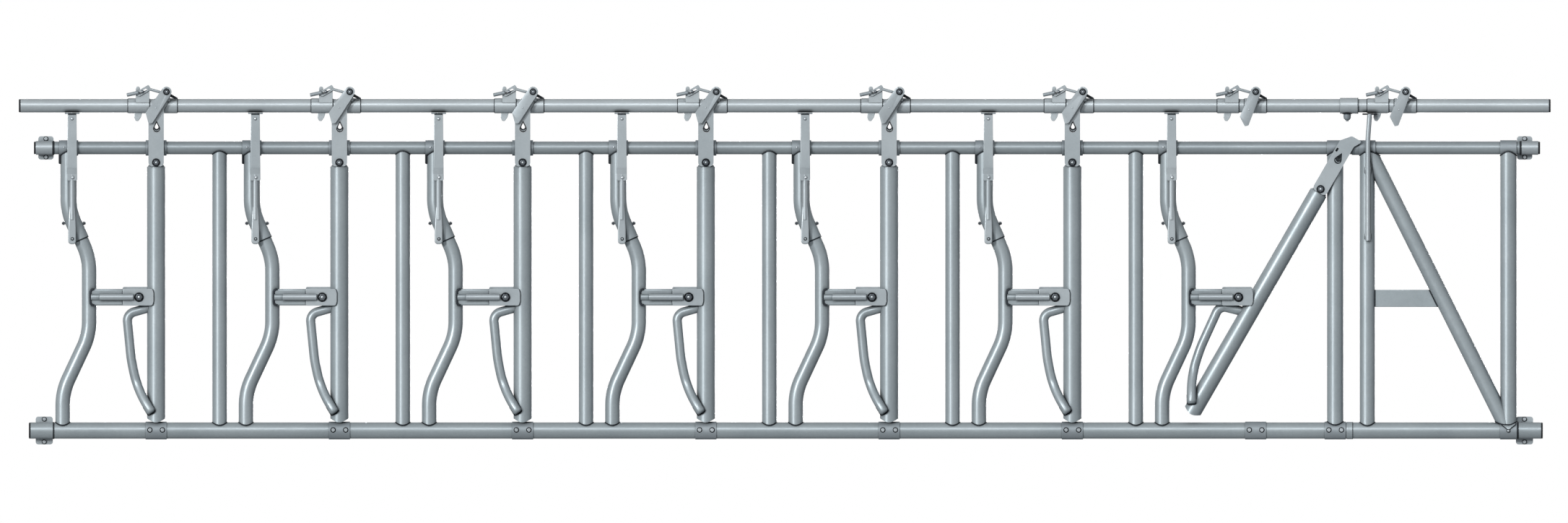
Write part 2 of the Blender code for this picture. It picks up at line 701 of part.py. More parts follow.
def lean_forward(piece, start, end, stand):
    """Leans the last stretch of a bar forward, until its end stands that far out."""
    run = end - start
    for vertex in piece.data.vertices:
        share = (Vector((vertex.co.x, vertex.co.z)) - start).dot(run) / run.length_squared
        vertex.co.y -= stand * min(max(share, 0.0), 1.0)


def make_swing_tubes():
    """Swing bars, modelled about the pivot bolt: tube, bush, top plug with lug and guard rod."""
    bar_x = BAR_FROM_PIVOT
    top = BAR_TOP_Z - PIVOT_Z
    foot_radius = CASTING_RADIUS + BAR_FOOT_CLEARANCE
    foot = BOTTOM_RAIL_Z - PIVOT_Z
    tube = upright_tube_solid(bar_x, BAR_RADIUS, (foot + CASTING_RADIUS / 2, top))
    cut(tube, x_cutter(foot, foot_radius, (bar_x - 2 * BAR_RADIUS, bar_x + 2 * BAR_RADIUS)))
    bush_half = BAR_RADIUS - RUN_GAP / 2
    bush = cross_rod(0.0, 0.0, (-bush_half, bush_half), BUSH_RADIUS)
    lug = box((0.0, bar_x - BAR_RADIUS * 0.8), (-BUSH_LUG_DEPTH / 2, BUSH_LUG_DEPTH / 2),
              (-BUSH_LUG_HEIGHT / 2, BUSH_LUG_HEIGHT / 2))
    guard_path = rounded_path(GUARD_CORNERS, GUARD_BENDS)
    guard = swept("guard", guard_path, [GUARD_RADIUS] * len(guard_path), GUARD_SIDES)
    lean_forward(guard, guard_path[-2], guard_path[-1], guard_end_stand())
    inside = upright_tube_solid(bar_x, BAR_RADIUS - BAR_WALL, (foot, top - PLUG_DEPTH))
    join(tube, bush, lug, guard)
    cut(tube, inside)
    lug_front = -TONGUE_BACK + SEAT_GAP
    plug_lug = box((bar_x - PLUG_LUG_WIDTH / 2, bar_x + PLUG_LUG_WIDTH / 2),
                   (lug_front, lug_front + PLUG_LUG_THICKNESS),
                   (top - PLUG_DEPTH / 2, PLUG_LUG_TOP_Z - PIVOT_Z))
    head_back = -TONGUE_BACK - TONGUE_THICKNESS - SEAT_GAP
    bolt_z = TONGUE_BOLT_Z - PIVOT_Z
    bolt = cross_rod(bar_x, bolt_z, (head_back - TONGUE_HEAD_DEPTH / 2, lug_front + 0.004),
                     TONGUE_BOLT_RADIUS, PIN_SIDES)
    head = cross_rod(bar_x, bolt_z, (head_back - TONGUE_HEAD_DEPTH, head_back), TONGUE_HEAD_RADIUS)
    join(tube, plug_lug, bolt, head)
    cut(tube, cross_rod(0.0, 0.0, (-BAR_RADIUS * 2, BAR_RADIUS * 2),
                        bore_radius(PIVOT_BOLT_RADIUS, ROD_SIDES, RUN_GAP)))
    finish(tube, "swing_tube", steel("swing tube steel", GALVANISED))
    names = [f"swing_tube_{p + 1}" for p in range(PLACES)]
    copies(tube, names, bar_places())


def upright_tube_solid(x, radius, z_range):
    """A solid upright bar with the same facets as a tube."""
    path = [Vector((x, z_range[0])), Vector((x, z_range[1]))]
    return swept("core", path, (radius, radius), TUBE_SIDES)


def open_angle():
    """How far the last bar turns before its top rests on the end post."""
    corner = Vector((BAR_FROM_PIVOT + BAR_RADIUS, BAR_TOP_Z - PIVOT_Z))
    room = END_POST_X - END_POST_RADIUS - OPEN_STOP_GAP - pivot_x(OPEN_PLACE)
    return math.asin(room / corner.length) - math.atan2(corner.x, corner.y)


def bar_places():
    """Where each bar and its tongue turn, and how far they are open at rest."""
    return [((pivot_x(p), TUBE_PLANE_Y, PIVOT_Z), open_angle() if p == OPEN_PLACE else 0.0)
            for p in range(PLACES)]


def pin_from_bolt(tilt):
    """Where a lever's latch pin stands from its bolt, as (x, z)."""
    x = -PIN_ALONG * math.sin(tilt) + PIN_SIDE * math.cos(tilt)
    z = -PIN_ALONG * math.cos(tilt) - PIN_SIDE * math.sin(tilt)
    return x, z


def make_tongues():
    """Tongue plates with the drop-shaped eye and the slot that the lever's pin drops into."""
    centre = BAR_FROM_PIVOT
    half = TONGUE_HALF_WIDTH
    corners = ((-half, TONGUE_FOOT_Z), (half, TONGUE_FOOT_Z), (half, TONGUE_SHOULDER_Z - 0.004),
               (TONGUE_RIGHT_SHOULDER, TONGUE_SHOULDER_Z), (TONGUE_TOP_RIGHT, TONGUE_TOP_Z),
               (TONGUE_TOP_LEFT, TONGUE_TOP_Z), (-half, TONGUE_SHOULDER_Z))
    corner_radii = (TONGUE_FOOT_CORNER, TONGUE_FOOT_CORNER, 0.0, 0.0,
                    TONGUE_TOP_CORNER, TONGUE_TOP_CORNER, 0.0)
    outline = rounded_outline([(centre + x, z - PIVOT_Z) for x, z in corners], corner_radii, 1)
    y_range = (-TONGUE_BACK - TONGUE_THICKNESS, -TONGUE_BACK)
    tongue = plate("tongue", outline, y_range)
    through = (y_range[0] - 0.01, y_range[1] + 0.01)
    eye_x = centre + EYE_SHIFT
    eye_z = EYE_CENTRE_Z - PIVOT_Z
    eye = [(eye_x + EYE_RADIUS * math.sin(a), eye_z + EYE_RADIUS * math.cos(a))
           for a in (math.radians(60 + 240 * k / 4) for k in range(5))]
    eye.append((eye_x, EYE_TIP_Z - PIVOT_Z))
    bolt_x = LEVER_BOLT_FROM_NECK - PIVOT_FROM_NECK
    pin_x, pin_z = pin_from_bolt(LOCKED_TILT)
    slot_x = bolt_x + pin_x
    slot_z = CONTROL_Z + LEVER_BOLT_RISE + pin_z - PIN_DROP - PIVOT_Z
    slot = rectangle((slot_x - SLOT_HALF_WIDTH, slot_x + SLOT_HALF_WIDTH),
                     (slot_z - SLOT_HALF_HEIGHT, slot_z + SLOT_HALF_HEIGHT))
    cut(tongue, plate("eye", eye, through), plate("slot", slot, through),
        cross_rod(centre, TONGUE_BOLT_Z - PIVOT_Z, through, bore_radius(TONGUE_BOLT_RADIUS, PIN_SIDES), PIN_SIDES))
    finish(tongue, "tongue", steel("tongue zinc", PALE_ZINC))
    copies(tongue, [f"tongue_{p + 1}" for p in range(PLACES)], bar_places())


def saddle_plate(x, front, radius=CONTROL_RADIUS):
    """Plate under the control tube, or under a collar of it, that carries it."""
    top = CONTROL_Z - radius - SEAT_GAP
    return box((x - SADDLE_PLATE_WIDTH / 2, x + SADDLE_PLATE_WIDTH / 2), (front, SADDLE_PLATE_BACK),
               (top - SADDLE_PLATE_THICKNESS, top))


def make_struts():
    """Struts: foot under the control tube, tapered bar over the top rail and rod on the neck tube."""
    back = -(NECK_SLEEVE_RADIUS + SEAT_GAP)
    front = back - STRUT_THICKNESS
    foot_top = CONTROL_Z - CONTROL_RADIUS - SEAT_GAP
    outline = ((STRUT_X - STRUT_FOOT_WIDTH / 2, STRUT_BOTTOM_Z), (STRUT_X + STRUT_FOOT_WIDTH / 2, STRUT_BOTTOM_Z),
               (STRUT_X + STRUT_TOP_WIDTH / 2, foot_top), (STRUT_X - STRUT_TOP_WIDTH / 2, foot_top))
    strut = plate("strut", outline, (front, back))
    foot = saddle_plate(STRUT_X, front)
    rod_y = back - STRUT_ROD_RADIUS
    bar = rod((STRUT_X, rod_y, STRUT_ROD_BOTTOM_Z), (STRUT_X, rod_y, STRUT_ROD_TOP_Z), STRUT_ROD_RADIUS)
    pad = box((STRUT_X - STRUT_PAD_WIDTH / 2, STRUT_X + STRUT_PAD_WIDTH / 2),
              (rod_y - STRUT_PAD_THICKNESS / 2, rod_y + STRUT_PAD_THICKNESS / 2), STRUT_PAD_Z)
    join(strut, foot, bar, pad)
    finish(strut, "strut", steel("strut zinc", PALE_ZINC))
    names = [f"strut_{p + 1}" for p in range(PLACES)]
    copies(strut, names, [((neck_x(p), TUBE_PLANE_Y, 0.0), 0.0) for p in range(PLACES)])


def make_levers():
    """Latch levers, modelled hanging straight down from their bolt and then tilted."""
    half = LEVER_END_HALF_WIDTH
    top = [(LEVER_TOP_RADIUS * math.cos(a), LEVER_TOP_RADIUS * math.sin(a))
           for a in (math.pi * k / 4 for k in range(5))]
    end = rounded_path(((-LEVER_TOP_RADIUS, 0.0), (-half, -LEVER_LENGTH), (half, -LEVER_LENGTH),
                        (LEVER_TOP_RADIUS, 0.0)), (LEVER_END_CORNER,) * 2, 1)
    y_range = (-LEVER_BACK - LEVER_THICKNESS, -LEVER_BACK)
    lever = plate("latch_lever", top + [tuple(p) for p in end[1:-1]], y_range)
    pin_tip = -(TONGUE_BACK + TONGUE_THICKNESS + RUN_GAP)
    pin = cross_rod(PIN_SIDE, -PIN_ALONG, (-LEVER_BACK - LEVER_THICKNESS / 2, pin_tip), PIN_RADIUS, PIN_SIDES)
    join(lever, pin)
    cut(lever, cross_rod(0.0, 0.0, (y_range[0] - 0.01, y_range[1] + 0.01),
                         bore_radius(LEVER_BOLT_RADIUS, PIN_SIDES, RUN_GAP), PIN_SIDES))
    finish(lever, "latch_lever", steel("lever zinc", PALE_ZINC))
    units = range(PLACES + 1)
    tilts = [LOCKED_TILT if unit < OPEN_PLACE else OPEN_TILT for unit in units]
    copies(lever, [f"latch_lever_{unit + 1}" for unit in units],
           [((latch_bolt_x(unit), TUBE_PLANE_Y, CONTROL_Z + LEVER_BOLT_RISE), tilts[unit]) for unit in units])


def make_selectors():
    """Selectors: slanted plate on the ear, with a handle on the left and a rod towards the lever."""
    (x0, z0), (x1, z1) = SELECTOR_PLATE
    along = Vector((x1 - x0, z1 - z0)).normalized()
    across = Vector((-along.y, along.x)) * SELECTOR_HALF_WIDTH
    ends = (Vector((x0, z0)), Vector((x1, z1)))
    corners = (ends[0] - across, ends[1] - across, ends[1] + across, ends[0] + across)
    back = -(COLLAR_RADIUS + RUN_GAP)
    y_range = (back - SELECTOR_THICKNESS, back)
    selector = plate("selector", rounded_outline(corners, (0.006,) * 4, 1), y_range)
    handle_y = back - SELECTOR_HANDLE_RADIUS
    (hx0, hz0), (hx1, hz1) = SELECTOR_HANDLE
    handle = rod((hx0, handle_y, hz0), (hx1, handle_y, hz1), SELECTOR_HANDLE_RADIUS)
    rod_y = back - SELECTOR_ROD_RADIUS
    (rx0, rz0), (rx1, rz1) = SELECTOR_ROD
    reach = rod((rx0, rod_y, rz0), (rx1, rod_y, rz1), SELECTOR_ROD_RADIUS)
    join(selector, handle, reach)
    cut(selector, cross_rod(0.0, 0.0, (back - 0.03, back + 0.01),
                            bore_radius(SELECTOR_BOLT_RADIUS, PIN_SIDES, RUN_GAP), PIN_SIDES))
    finish(selector, "selector", steel("selector zinc", PALE_ZINC))
    units = range(PLACES + 1)
    bolt_z = CONTROL_Z + LEVER_BOLT_RISE
    copies(selector, [f"selector_{unit + 1}" for unit in units],
           [((latch_bolt_x(unit) + SELECTOR_BOLT_FROM_LEVER, TUBE_PLANE_Y, bolt_z), 0.0) for unit in units])


def make_brace_frame():
    """Two posts, the diagonal, the crossbar and the last strut, welded into one frame."""
    post_z = (BOTTOM_RAIL_Z + BRACE_END_INSET / 2, TOP_RAIL_Z - SADDLE_DEPTH)
    low, high = Vector((BRACE_RIGHT_X, BOTTOM_RAIL_Z)), Vector((BRACE_LEFT_X, TOP_RAIL_Z))
    inset = (high - low).normalized() * BRACE_END_INSET
    foot, head = low + inset, high - inset
    members = ((Vector((BRACE_LEFT_X, post_z[0])), Vector((BRACE_LEFT_X, post_z[1])), BRACE_LEFT_RADIUS),
               (Vector((BRACE_RIGHT_X, post_z[0])), Vector((BRACE_RIGHT_X, post_z[1])), BRACE_RIGHT_RADIUS),
               (foot, head, DIAGONAL_RADIUS))
    outers = [swept("member", [start, end], (radius, radius), TUBE_SIDES) for start, end, radius in members]
    frame = join(*outers)
    slope = (BRACE_RIGHT_X - BRACE_LEFT_X) / (TOP_RAIL_Z - BOTTOM_RAIL_Z)
    crossbar_end = BRACE_RIGHT_X - slope * (CROSSBAR_Z - BOTTOM_RAIL_Z)
    crossbar = box((BRACE_LEFT_X, crossbar_end), (-CROSSBAR_THICKNESS / 2, CROSSBAR_THICKNESS / 2),
                   (CROSSBAR_Z - CROSSBAR_HEIGHT / 2, CROSSBAR_Z + CROSSBAR_HEIGHT / 2))
    join(frame, crossbar)
    overrun = 0.02
    for start, end, radius in members:
        along = (end - start).normalized() * overrun
        core = swept("core", [start - along, end + along], (radius - BRACE_BORE_WALL,) * 2, TUBE_SIDES)
        cut(frame, core)
    reach = (BRACE_LEFT_X - 3 * BRACE_LEFT_RADIUS, BRACE_RIGHT_X + 3 * BRACE_RIGHT_RADIUS)
    casting = (BRACE_RIGHT_X - OUTER_CASTING_WIDTH, BRACE_RIGHT_X + OUTER_CASTING_WIDTH)
    cut(frame, x_cutter(BOTTOM_RAIL_Z, BOTTOM_RAIL_RADIUS + SEAT_GAP, reach),
        x_cutter(BOTTOM_RAIL_Z, CASTING_RADIUS + SEAT_GAP, casting),
        x_cutter(TOP_RAIL_Z, TEE_RADIUS + SEAT_GAP, reach))
    rod_y = -(TEE_RADIUS + SEAT_GAP + BRACE_STRUT_RADIUS)
    plate_top = CONTROL_Z - COLLAR_RADIUS - SEAT_GAP
    strut_path = [Vector((BRACE_STRUT_X, BRACE_STRUT_BOTTOM_Z)), Vector((BRACE_STRUT_X, BRACE_STRUT_KNEE_Z)),
                  Vector((BRACE_STRUT_HEAD_X, plate_top - SADDLE_PLATE_THICKNESS / 2))]
    strut = swept("strut", strut_path, (BRACE_STRUT_RADIUS,) * 3, ROD_SIDES)
    strut.data.transform(Matrix.Translation((0.0, rod_y, 0.0)))
    join(frame, strut)
    for clip_z in BRACE_CLIP_Z:
        clip = box((BRACE_STRUT_X - BRACE_CLIP_WIDTH / 2, BRACE_STRUT_X + BRACE_CLIP_WIDTH / 2),
                   (rod_y, -BRACE_LEFT_RADIUS + BRACE_BORE_WALL / 2),
                   (clip_z - BRACE_CLIP_HEIGHT / 2, clip_z + BRACE_CLIP_HEIGHT / 2))
        join(frame, clip)
    join(frame, saddle_plate(BRACE_STRUT_HEAD_X, rod_y - BRACE_STRUT_RADIUS / 2, COLLAR_RADIUS))
    finish(frame, "brace_frame", steel("brace steel", GALVANISED))
    frame.location = (0.0, TUBE_PLANE_Y, 0.0)


def seat_cutter(z, radius, x_range):
    """A bar along the rails' plane that cuts the seat of a rail or of a casting on it."""
    seat = x_cutter(z, radius + SEAT_GAP, x_range)
    seat.data.transform(Matrix.Translation((0.0, TUBE_PLANE_Y, 0.0)))
    return seat


def make_end_clamp(name, x, z, rail_radius, width, height, hole_spacing):
    """Plate with two bolt holes and a saddle for the rail, its back face on the mounting plane."""
    clamp = box((x - width / 2, x + width / 2), (-CLAMP_PLATE, 0.0), (z - height / 2, z + height / 2))
    saddle = box((x - width / 2, x + width / 2), (TUBE_PLANE_Y, -CLAMP_PLATE / 2),
                 (z - CLAMP_SADDLE_HALF_HEIGHT, z + CLAMP_SADDLE_HALF_HEIGHT))
    join(clamp, saddle)
    cut(clamp, seat_cutter(z, rail_radius, (x - width, x + width)))
    casting_end = BRACE_RIGHT_X + OUTER_CASTING_WIDTH / 2 + SEAT_GAP
    if z == BOTTOM_RAIL_Z and x - width / 2 < casting_end < x:
        cut(clamp, seat_cutter(z, CASTING_RADIUS, (BRACE_RIGHT_X, casting_end)))
    for side in (-1, 1):
        hole_z = z + side * hole_spacing / 2
        cut(clamp, cross_rod(x, hole_z, (-0.02, 0.01), CLAMP_HOLE_RADIUS, PIN_SIDES))
    finish(clamp, name, steel(name, PALE_ZINC))


def make_end_clamps():
    """The four clamps that bolt the panel's rails to posts."""
    lower = (BOTTOM_RAIL_RADIUS, LOWER_CLAMP_WIDTH, LOWER_CLAMP_HEIGHT, LOWER_HOLE_SPACING)
    upper = (END_SLEEVE_RADIUS, UPPER_CLAMP_WIDTH, UPPER_CLAMP_HEIGHT, UPPER_HOLE_SPACING)
    make_end_clamp("end_clamp_lower_left", 0.0, BOTTOM_RAIL_Z, *lower)
    make_end_clamp("end_clamp_lower_right", LOWER_RIGHT_CLAMP_X, BOTTOM_RAIL_Z, *lower)
    make_end_clamp("end_clamp_upper_left", UPPER_LEFT_CLAMP_X, TOP_RAIL_Z, *upper)
    make_end_clamp("end_clamp_upper_right", UPPER_RIGHT_CLAMP_X, TOP_RAIL_Z, *upper)


def main():
    """Clears the scene and builds the panel."""
    for item in list(bpy.data.objects):
        bpy.data.objects.remove(item, do_unlink=True)
    make_top_rail()
    make_bottom_rail()
    make_control_tube()
    make_coupling()
    make_posts()
    make_neck_tubes()
    make_swing_tubes()
    make_tongues()
    make_struts()
    make_levers()
    make_selectors()
    make_brace_frame()
    make_end_clamps()


main()
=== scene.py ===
"""Looks of a self-locking headlock panel with seven places.

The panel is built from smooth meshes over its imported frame: X runs along the panel to the
right, Y runs away from the viewer and Z is up. All sizes are in metres.
"""

import json
import logging
import math
from dataclasses import dataclass
from enum import Enum
from typing import Iterable, Optional, Sequence

import bmesh
import bpy
from mathutils import Matrix, Vector

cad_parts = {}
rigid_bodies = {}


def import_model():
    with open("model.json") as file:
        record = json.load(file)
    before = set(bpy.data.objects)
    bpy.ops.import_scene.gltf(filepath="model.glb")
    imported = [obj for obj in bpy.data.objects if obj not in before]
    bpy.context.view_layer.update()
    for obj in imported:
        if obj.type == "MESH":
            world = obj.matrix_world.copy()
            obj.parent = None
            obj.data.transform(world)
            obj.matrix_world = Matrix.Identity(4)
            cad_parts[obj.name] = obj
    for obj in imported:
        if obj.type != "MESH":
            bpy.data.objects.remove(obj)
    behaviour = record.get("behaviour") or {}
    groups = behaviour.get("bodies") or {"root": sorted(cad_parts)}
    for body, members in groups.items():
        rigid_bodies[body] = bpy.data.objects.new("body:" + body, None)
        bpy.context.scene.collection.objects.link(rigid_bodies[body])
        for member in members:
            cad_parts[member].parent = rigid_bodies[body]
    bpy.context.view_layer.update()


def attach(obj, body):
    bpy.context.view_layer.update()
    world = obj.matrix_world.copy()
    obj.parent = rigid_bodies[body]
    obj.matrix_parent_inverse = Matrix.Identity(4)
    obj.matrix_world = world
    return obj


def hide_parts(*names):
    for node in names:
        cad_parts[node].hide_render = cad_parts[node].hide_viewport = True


LOG = logging.getLogger("headlock")

Point = tuple[float, float]
Outline = Sequence[Point]
Colour = tuple[float, float, float]
Form = bmesh.types.BMesh
Run = tuple[str, str, Matrix]

# Fineness of the meshes
SHARP_ANGLE = math.radians(22.0)
PLATE_ARC_STEP = math.radians(10.0)
LINE_ARC_STEP = PLATE_ARC_STEP / 5
TUBE_SIDES = 48
RING_STEPS = 48
GUARD_SIDES = 32
ROD_SIDES = 28
THIN_ROD_SIDES = 16
WIRE_SIDES = 12
BEAD_SIDES = 8
RIVET_STEPS = 7
MERGE_DISTANCE = 1e-6
SHORTEST_STEP = 1e-9

# Sizes that many pieces share
TUBE_WELD = 0.0020
SEAT_GAP = 0.0003
PIN_OVERRUN = 0.001
RIVET_SINK = 0.001
LIP_SHARE = 0.72
RIPPLE = 0.05


class Side(Enum):
    """The two faces of the panel."""

    FRONT = -1
    BACK = 1


@dataclass(frozen=True)
class Layout:
    """Where the panel's tubes and places stand."""

    plane: float = -0.038
    bottom: float = 0.0
    top: float = 0.939
    control: float = 1.079
    pivot: float = 0.443
    places: int = 7
    pitch: float = 0.6092
    first_neck: float = 0.1493
    pivot_from_neck: float = 0.1656
    bar_from_pivot: float = 0.0571
    post_from_neck: float = 0.4337
    end_post: float = 4.2917
    brace_left: float = 4.3985
    brace_right: float = 4.8677
    bolt_from_neck: float = 0.257
    bolt_rise: float = 0.0463
    open_place: int = 6
    open_angle: float = math.radians(30.0)
    open_latch_shift: float = -0.034
    last_latch: float = 4.5259
    closed_tilt: float = math.radians(34.0)
    open_tilt: float = math.radians(21.6)
    latch_pin: Point = (0.0062, -0.1032)
    selector_from_bolt: float = -0.0794

    def neck(self, place: int) -> float:
        """X of the straight middle stretch of a neck tube."""
        return self.first_neck + place * self.pitch

    def pivot_x(self, place: int) -> float:
        """X of the pivot bolt of a place."""
        return self.neck(place) + self.pivot_from_neck

    def bar(self, place: int) -> float:
        """X of a swing bar's axis while it is closed."""
        return self.pivot_x(place) + self.bar_from_pivot

    def latch(self, unit: int) -> float:
        """X of the lever bolt of a latch unit.

        Args:
            unit: Number of the unit, from 0.

        Returns:
            The bolt's X.
        """
        if unit == self.places:
            return self.last_latch
        shift = self.open_latch_shift if unit == self.open_place else 0.0
        return self.neck(unit) + self.bolt_from_neck + shift

    def bar_place(self, place: int) -> Matrix:
        """Where a bar modelled about its pivot bolt goes."""
        angle = self.open_angle if place == self.open_place else 0.0
        spot = Matrix.Translation((self.pivot_x(place), self.plane, self.pivot))
        return spot @ Matrix.Rotation(angle, 4, "Y")

    def along(self, x: float, z: float = 0.0) -> Matrix:
        """A shift along the panel within the plane of the tubes."""
        return Matrix.Translation((x, self.plane, z))


LAYOUT = Layout()


@dataclass(frozen=True)
class MetalFinish:
    """A zinc or steel surface: cloudy tone, crystal spangle, dull patches and fine grain, with painted shade
    that darkens its colour in crevices, corners and between parts.
    """

    name: str
    tint: Colour
    shade: Colour
    metallic: float = 0.33
    edge_tint: Colour = (0.08, 0.084, 0.09)
    specular: float = 0.12
    roughness: float = 0.37
    roughness_spread: float = 0.04
    spangle_scale: float = 150.0
    spangle_strength: float = 0.03
    cloud_scale: float = 5.0
    dull_scale: float = 38.0
    patch_band: Point = (0.3, 0.7)
    grain_scale: float = 900.0
    grain_depth: float = 0.0004
    bump: float = 0.10
    painted_shade_strength: float = 0.70
    painted_shade_reach: float = 0.014
    painted_shade_band: Point = (0.25, 0.95)
    slot: str = "galvanised_tube"

    def material(self) -> bpy.types.Material:
        """Builds the node material.

        Returns:
            A Principled material that reads Object coordinates.
        """
        material = bpy.data.materials.new(self.name)
        material.use_nodes = True
        tree = material.node_tree
        shader = tree.nodes["Principled BSDF"]
        shader.inputs["Metallic"].default_value = self.metallic
        shader.inputs["Specular Tint"].default_value = (*self.edge_tint, 1.0)
        shader.inputs["Specular IOR Level"].default_value = self.specular
        place = tree.nodes.new("ShaderNodeTexCoord").outputs["Object"]
        clouds = self._noise(tree, place, self.cloud_scale, 5.0)
        dull = self._noise(tree, place, self.dull_scale, 3.0)
        grain = self._noise(tree, place, self.grain_scale, 2.0)
        spangle = tree.nodes.new("ShaderNodeTexVoronoi")
        spangle.inputs["Scale"].default_value = self.spangle_scale
        tree.links.new(place, spangle.inputs["Vector"])
        tone = self._range(tree, clouds, self.patch_band, (0.0, 1.0))
        body = self._mix(tree, tone, (*self.shade, 1.0), (*self.tint, 1.0))
        crystal = self._range(tree, spangle.outputs["Color"], (0.0, 1.0),
                              (1.0 - self.spangle_strength, 1.0 + self.spangle_strength))
        toned = self._multiply(tree, body, crystal)
        # Painted shade: ambient occlusion darkens the base colour in crevices, corners and between parts,
        # where shade falls
        shadow = tree.nodes.new("ShaderNodeAmbientOcclusion")
        shadow.samples = 4
        shadow.inputs["Distance"].default_value = self.painted_shade_reach
        painted_shade_factor = self._range(tree, shadow.outputs["AO"], self.painted_shade_band, (1.0 - self.painted_shade_strength, 1.0))
        tree.links.new(self._multiply(tree, toned, painted_shade_factor), shader.inputs["Base Color"])
        low, high = self.roughness - self.roughness_spread, self.roughness + self.roughness_spread
        gloss = self._range(tree, dull, self.patch_band, (low, high))
        tree.links.new(gloss, shader.inputs["Roughness"])
        relief = tree.nodes.new("ShaderNodeBump")
        relief.inputs["Strength"].default_value = self.bump
        relief.inputs["Distance"].default_value = self.grain_depth
        tree.links.new(grain, relief.inputs["Height"])
        tree.links.new(relief.outputs["Normal"], shader.inputs["Normal"])
        return material

    @staticmethod
    def _noise(tree: bpy.types.NodeTree, place: bpy.types.NodeSocket, scale: float,
               detail: float) -> bpy.types.NodeSocket:
        """A noise pattern of the given scale and detail.

        Args:
            tree: The material's nodes.
            place: Where the pattern is read.
            scale: How fine it is.
            detail: Its number of octaves.

        Returns:
            The pattern.
        """
        noise = tree.nodes.new("ShaderNodeTexNoise")
        noise.inputs["Scale"].default_value = scale
        noise.inputs["Detail"].default_value = detail
        tree.links.new(place, noise.inputs["Vector"])
        return noise.outputs["Fac"]

    @staticmethod
    def _range(tree: bpy.types.NodeTree, value: bpy.types.NodeSocket, source: Point,
               target: Point) -> bpy.types.NodeSocket:
        """Maps a value from one range to another.

        Args:
            tree: The material's nodes.
            value: What is mapped.
            source: Range of the value.
            target: Range that it is mapped to.

        Returns:
            The mapped value.
        """
        node = tree.nodes.new("ShaderNodeMapRange")
        for name, number in zip(("From Min", "From Max", "To Min", "To Max"), (*source, *target)):
            node.inputs[name].default_value = number
        tree.links.new(value, node.inputs["Value"])
        return node.outputs["Result"]

    @staticmethod
    def _mix(tree: bpy.types.NodeTree, factor: bpy.types.NodeSocket, first: tuple[float, ...],
             second: tuple[float, ...]) -> bpy.types.NodeSocket:
        """Mixes two colours by a factor.

        Args:
            tree: The material's nodes.
            factor: Share of the second colour.
            first: First colour.
            second: Second colour.

        Returns:
            The mixed colour.
        """
        node = tree.nodes.new("ShaderNodeMix")
        node.data_type = "RGBA"
        node.inputs["A"].default_value = first
        node.inputs["B"].default_value = second
        tree.links.new(factor, node.inputs["Factor"])
        return next(s for s in node.outputs if s.type == "RGBA")

    @staticmethod
    def _multiply(tree: bpy.types.NodeTree, colour: bpy.types.NodeSocket,
                  value: bpy.types.NodeSocket) -> bpy.types.NodeSocket:
        """Scales a colour by a value.

        Args:
            tree: The material's nodes.
            colour: The colour.
            value: What it is multiplied by.

        Returns:
            The darker or paler colour.
        """
        node = tree.nodes.new("ShaderNodeVectorMath")
        node.operation = "SCALE"
        tree.links.new(colour, node.inputs[0])
        tree.links.new(value, node.inputs["Scale"])
        return node.outputs["Vector"]


class Finishes:
    """The finishes of the panel."""

    galvanised = MetalFinish("galvanised tube", (0.315, 0.358, 0.382), (0.27, 0.31, 0.333))
    top_rail = MetalFinish("top rail zinc", (0.285, 0.325, 0.347), (0.245, 0.28, 0.302))
    bright = MetalFinish("bright zinc plate", (0.37, 0.41, 0.435), (0.31, 0.35, 0.375), slot="zinc_plate",
                         spangle_strength=0.02)
    control = MetalFinish("control tube zinc", (0.41, 0.455, 0.48), (0.36, 0.40, 0.425))
    casting = MetalFinish("cast fitting zinc", (0.27, 0.305, 0.33), (0.22, 0.252, 0.275), roughness=0.5,
                          spangle_strength=0.02, grain_scale=420.0, bump=0.30)
    weld = MetalFinish("weld bead", (0.045, 0.052, 0.06), (0.025, 0.03, 0.036), roughness=0.55,
                       spangle_scale=400.0, bump=0.3)
    bolt = MetalFinish("bolt zinc", (0.42, 0.46, 0.49), (0.32, 0.355, 0.38), slot="zinc_plate",
                       roughness=0.30, metallic=0.6)
    head = MetalFinish("bolt head steel", (0.12, 0.135, 0.15), (0.08, 0.092, 0.105), slot="zinc_plate",
                       roughness=0.28, metallic=0.7)
    dark = MetalFinish("dark washer steel", (0.035, 0.04, 0.045), (0.018, 0.021, 0.025), slot="zinc_plate",
                       roughness=0.45, metallic=0.2)
    plug = MetalFinish("end cap", (0.035, 0.038, 0.042), (0.025, 0.027, 0.03), slot="zinc_plate",
                       metallic=0.0, roughness=0.5, spangle_strength=0.0, grain_scale=300.0)


def recalculated(form: Form) -> Form:
    """Turns a closed form's faces outwards."""
    bmesh.ops.recalc_face_normals(form, faces=form.faces)
    return form


def rounded(corners: Outline, radii: Sequence[float], closed: bool = True) -> list[Point]:
    """Rounds the corners of an outline or a line.

    Args:
        corners: Corner points as (x, z).
        radii: One radius for each corner, 0 for a sharp one.
        closed: False for a line, whose ends stay as they are.

    Returns:
        The points of the rounded outline in order.
    """
    points: list[Point] = []
    count = len(corners)
    for index, radius in enumerate(radii):
        corner = Vector(corners[index])
        if not radius or (not closed and index in (0, count - 1)):
            points.append(tuple(corner))
            continue
        into = (corner - Vector(corners[index - 1])).normalized()
        out = (Vector(corners[(index + 1) % count]) - corner).normalized()
        half = into.angle(out) / 2
        start = corner - into * radius * math.tan(half)
        centre = corner + (out - into).normalized() * (radius / math.cos(half))
        steps = max(2, math.ceil(2 * half / (PLATE_ARC_STEP if closed else LINE_ARC_STEP)))
        sense = math.copysign(2 * half / steps, into.cross(out))
        for step in range(steps + 1):
            points.append(tuple(centre + Matrix.Rotation(sense * step, 2) @ (start - centre)))
    return points


def in_plane(points: Outline, y: float = 0.0) -> list[Vector]:
    """Puts (x, z) points into space at a depth."""
    return [Vector((x, y, z)) for x, z in points]


